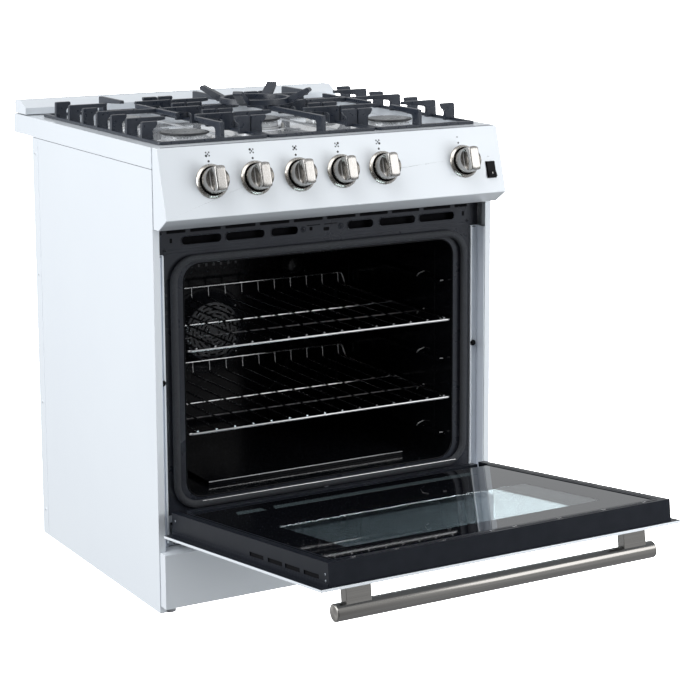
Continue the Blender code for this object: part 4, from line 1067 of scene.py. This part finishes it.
# ---------------------------------------------------------------- casing
for side, name in SIDES:
    toward = "-x" if side < 0 else "+x"
    screws("side_screws_" + name, "range_body",
           [(side * 0.381, 0.592, z) for z in (0.06, 0.30, 0.58, 0.84)],
           BODY, toward, ENAMEL, 0.0035, 0.0012)
    seam_y = 0.578
    fold = sweep([(side * 0.3808, seam_y, 0.012), (side * 0.3808, seam_y, 0.866)], 0.0010, sides=8)
    make("side_fold_" + name, fold, BODY, "range_body", ENAMEL)
back_low, back_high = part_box("back_panel")
back_y = back_high.y - FRONT_Y
# near-black slots on the back panel: painted shade for the vent openings
louvres = []
for row in range(6):
    for x in (-0.17, 0.0, 0.17):
        louvres.append(prism([rounded((x - 0.055, 0.700 + 0.018 * row), (x + 0.055, 0.706 + 0.018 * row),
                                      0.003, 4)], back_y + 0.0001, back_y + 0.0008, "y"))
make("back_vent_shade", merged(louvres), BODY, "range_body", DARK)
border = [sweep([(x, back_y, z) for x, z in rounded((-0.34, 0.10), (0.34, 0.66), 0.03)], 0.003,
                closed=True, sides=10, squeeze=0.5, up=(0, 1, 0)),
          sweep([(-0.30, back_y, 0.16), (0.30, back_y, 0.60)], 0.003, sides=10, squeeze=0.5,
                up=(0, 1, 0)),
          sweep([(-0.30, back_y, 0.60), (0.30, back_y, 0.16)], 0.003, sides=10, squeeze=0.5,
                up=(0, 1, 0))]
make("back_embossing", merged(border), BODY, "range_body", ZINC, angle=60)
screws("back_screws", "range_body",
       [(x, back_y, z) for x in (-0.360, -0.12, 0.12, 0.360) for z in (0.05, 0.845)]
       + [(x, back_y, 0.45) for x in (-0.360, 0.360)], BODY, "+y")

# ---------------------------------------------------------------- floor, light and camera
floor_mesh = bmesh.new()
bmesh.ops.create_grid(floor_mesh, x_segments=1, y_segments=1, size=40)
mesh = bpy.data.meshes.new("floor")
floor_mesh.to_mesh(mesh)
floor_mesh.free()
FLOOR = Paint("pale_floor", (0.90, 0.90, 0.90), 0.7, Emission_Color=(1, 1, 1, 1))
FLOOR.tint(2.0, (0.91, 0.91, 0.915))
# the floor glows where it is seen, also through glass, but lights nothing
path = FLOOR.node("ShaderNodeLightPath")
FLOOR.link(FLOOR.spread(path.outputs["Diffuse Depth"], 4.0, 0.0, 0.0, 1.0),
           FLOOR.shader.inputs["Emission Strength"])
mesh.materials.append(FLOOR.material)
floor = bpy.data.objects.new("floor", mesh)
bpy.context.scene.collection.objects.link(floor)
floor.visible_diffuse = False
floor.visible_glossy = False

world = bpy.data.worlds.new("studio")
bpy.context.scene.world = world
world.use_nodes = True
tree = world.node_tree
link = tree.links.new
background = tree.nodes["Background"]
background.inputs["Strength"].default_value = 0.62
coords = new_node(tree, "ShaderNodeTexCoord")
split = new_node(tree, "ShaderNodeSeparateXYZ")
lift = new_node(tree, "ShaderNodeMapRange", From_Min=-1)
ramp = new_node(tree, "ShaderNodeValToRGB")
ground, sky = ramp.color_ramp.elements
ground.position, ground.color = 0.0, (0.50, 0.52, 0.55, 1)
sky.position, sky.color = 0.60, (0.96, 0.98, 1.0, 1)
link(coords.outputs["Generated"], split.inputs["Vector"])
link(split.outputs["Z"], lift.inputs["Value"])
link(lift.outputs["Result"], ramp.inputs["Fac"])
# the studio is darker in front and to the left, which gives the steel its dark bands
aim = new_node(tree, "ShaderNodeVectorMath", operation="DOT_PRODUCT")
aim.inputs[1].default_value = Vector((-0.50, -0.84, -0.10)).normalized()
flag = new_node(tree, "ShaderNodeMapRange", interpolation_type="SMOOTHSTEP",
                From_Min=0.45, From_Max=0.95, To_Min=1.0, To_Max=0.22)
shaded = new_node(tree, "ShaderNodeVectorMath", operation="SCALE")
link(coords.outputs["Generated"], aim.inputs[0])
link(aim.outputs["Value"], flag.inputs["Value"])
link(ramp.outputs["Color"], shaded.inputs[0])
link(flag.outputs["Result"], shaded.inputs["Scale"])
# the camera sees plain white behind the range
rays = new_node(tree, "ShaderNodeLightPath")
seen = new_node(tree, "ShaderNodeMix", data_type="RGBA")
seen.inputs[7].default_value = (2, 2, 2, 1)
link(rays.outputs["Is Camera Ray"], seen.inputs[0])
link(shaded.outputs["Vector"], seen.inputs[6])
link(seen.outputs[2], background.inputs["Color"])


def lamp(name, kind, energy, location, target, size, colour=(1, 1, 1)):
    """A light aimed at a point. An area light's size is (width, height), and a sun's is its angle."""
    data = bpy.data.lights.new(name, kind)
    data.energy = energy
    data.color = colour
    if kind == "AREA":
        data.shape = "RECTANGLE"
        data.size, data.size_y = size
    else:
        data.angle = size
    light = bpy.data.objects.new(name, data)
    bpy.context.scene.collection.objects.link(light)
    light.location = location
    light.rotation_euler = (Vector(target) - Vector(location)).to_track_quat("-Z", "Y").to_euler()
    return light


lamp("key", "SUN", 1.08, (-2.2, -0.8, 4.4), (0, 0, 0.4), math.radians(50))
lamp("left_box", "AREA", 66, (-3.0, 0.2, 1.4), (0, 0.1, 0.5), (2.4, 2.0), (0.96, 0.98, 1.0))
lamp("right_box", "AREA", 34, (2.8, -3.0, 2.2), (0.2, 0, 0.8), (2.6, 2.0))
fill = lamp("front_fill", "AREA", 68, (2.0, -2.6, 0.45), (0.1, 0, 0.4), (1.6, 1.6), (0.97, 0.99, 1.0))
fill.visible_glossy = False

lens = bpy.data.cameras.new("camera")
camera = bpy.data.objects.new("camera", lens)
bpy.context.scene.collection.objects.link(camera)
bpy.context.scene.camera = camera
lens.sensor_width = 36
lens.lens = 106.6
lens.shift_x = -0.05
lens.shift_y = -0.15
lens.clip_end = 200
CAMERA_TURN, CAMERA_DROP, CAMERA_ROLL = 30.687, 9.733, -0.061
camera.rotation_euler = (Matrix.Rotation(math.radians(-CAMERA_TURN), 4, "Z")
                         @ Matrix.Rotation(math.radians(90 - CAMERA_DROP), 4, "X")
                         @ Matrix.Rotation(math.radians(CAMERA_ROLL), 4, "Z")).to_euler()
camera.location = BODY @ Vector((-1.9675, -3.5293, 1.3897))
bpy.context.scene.view_settings.view_transform = "Standard"
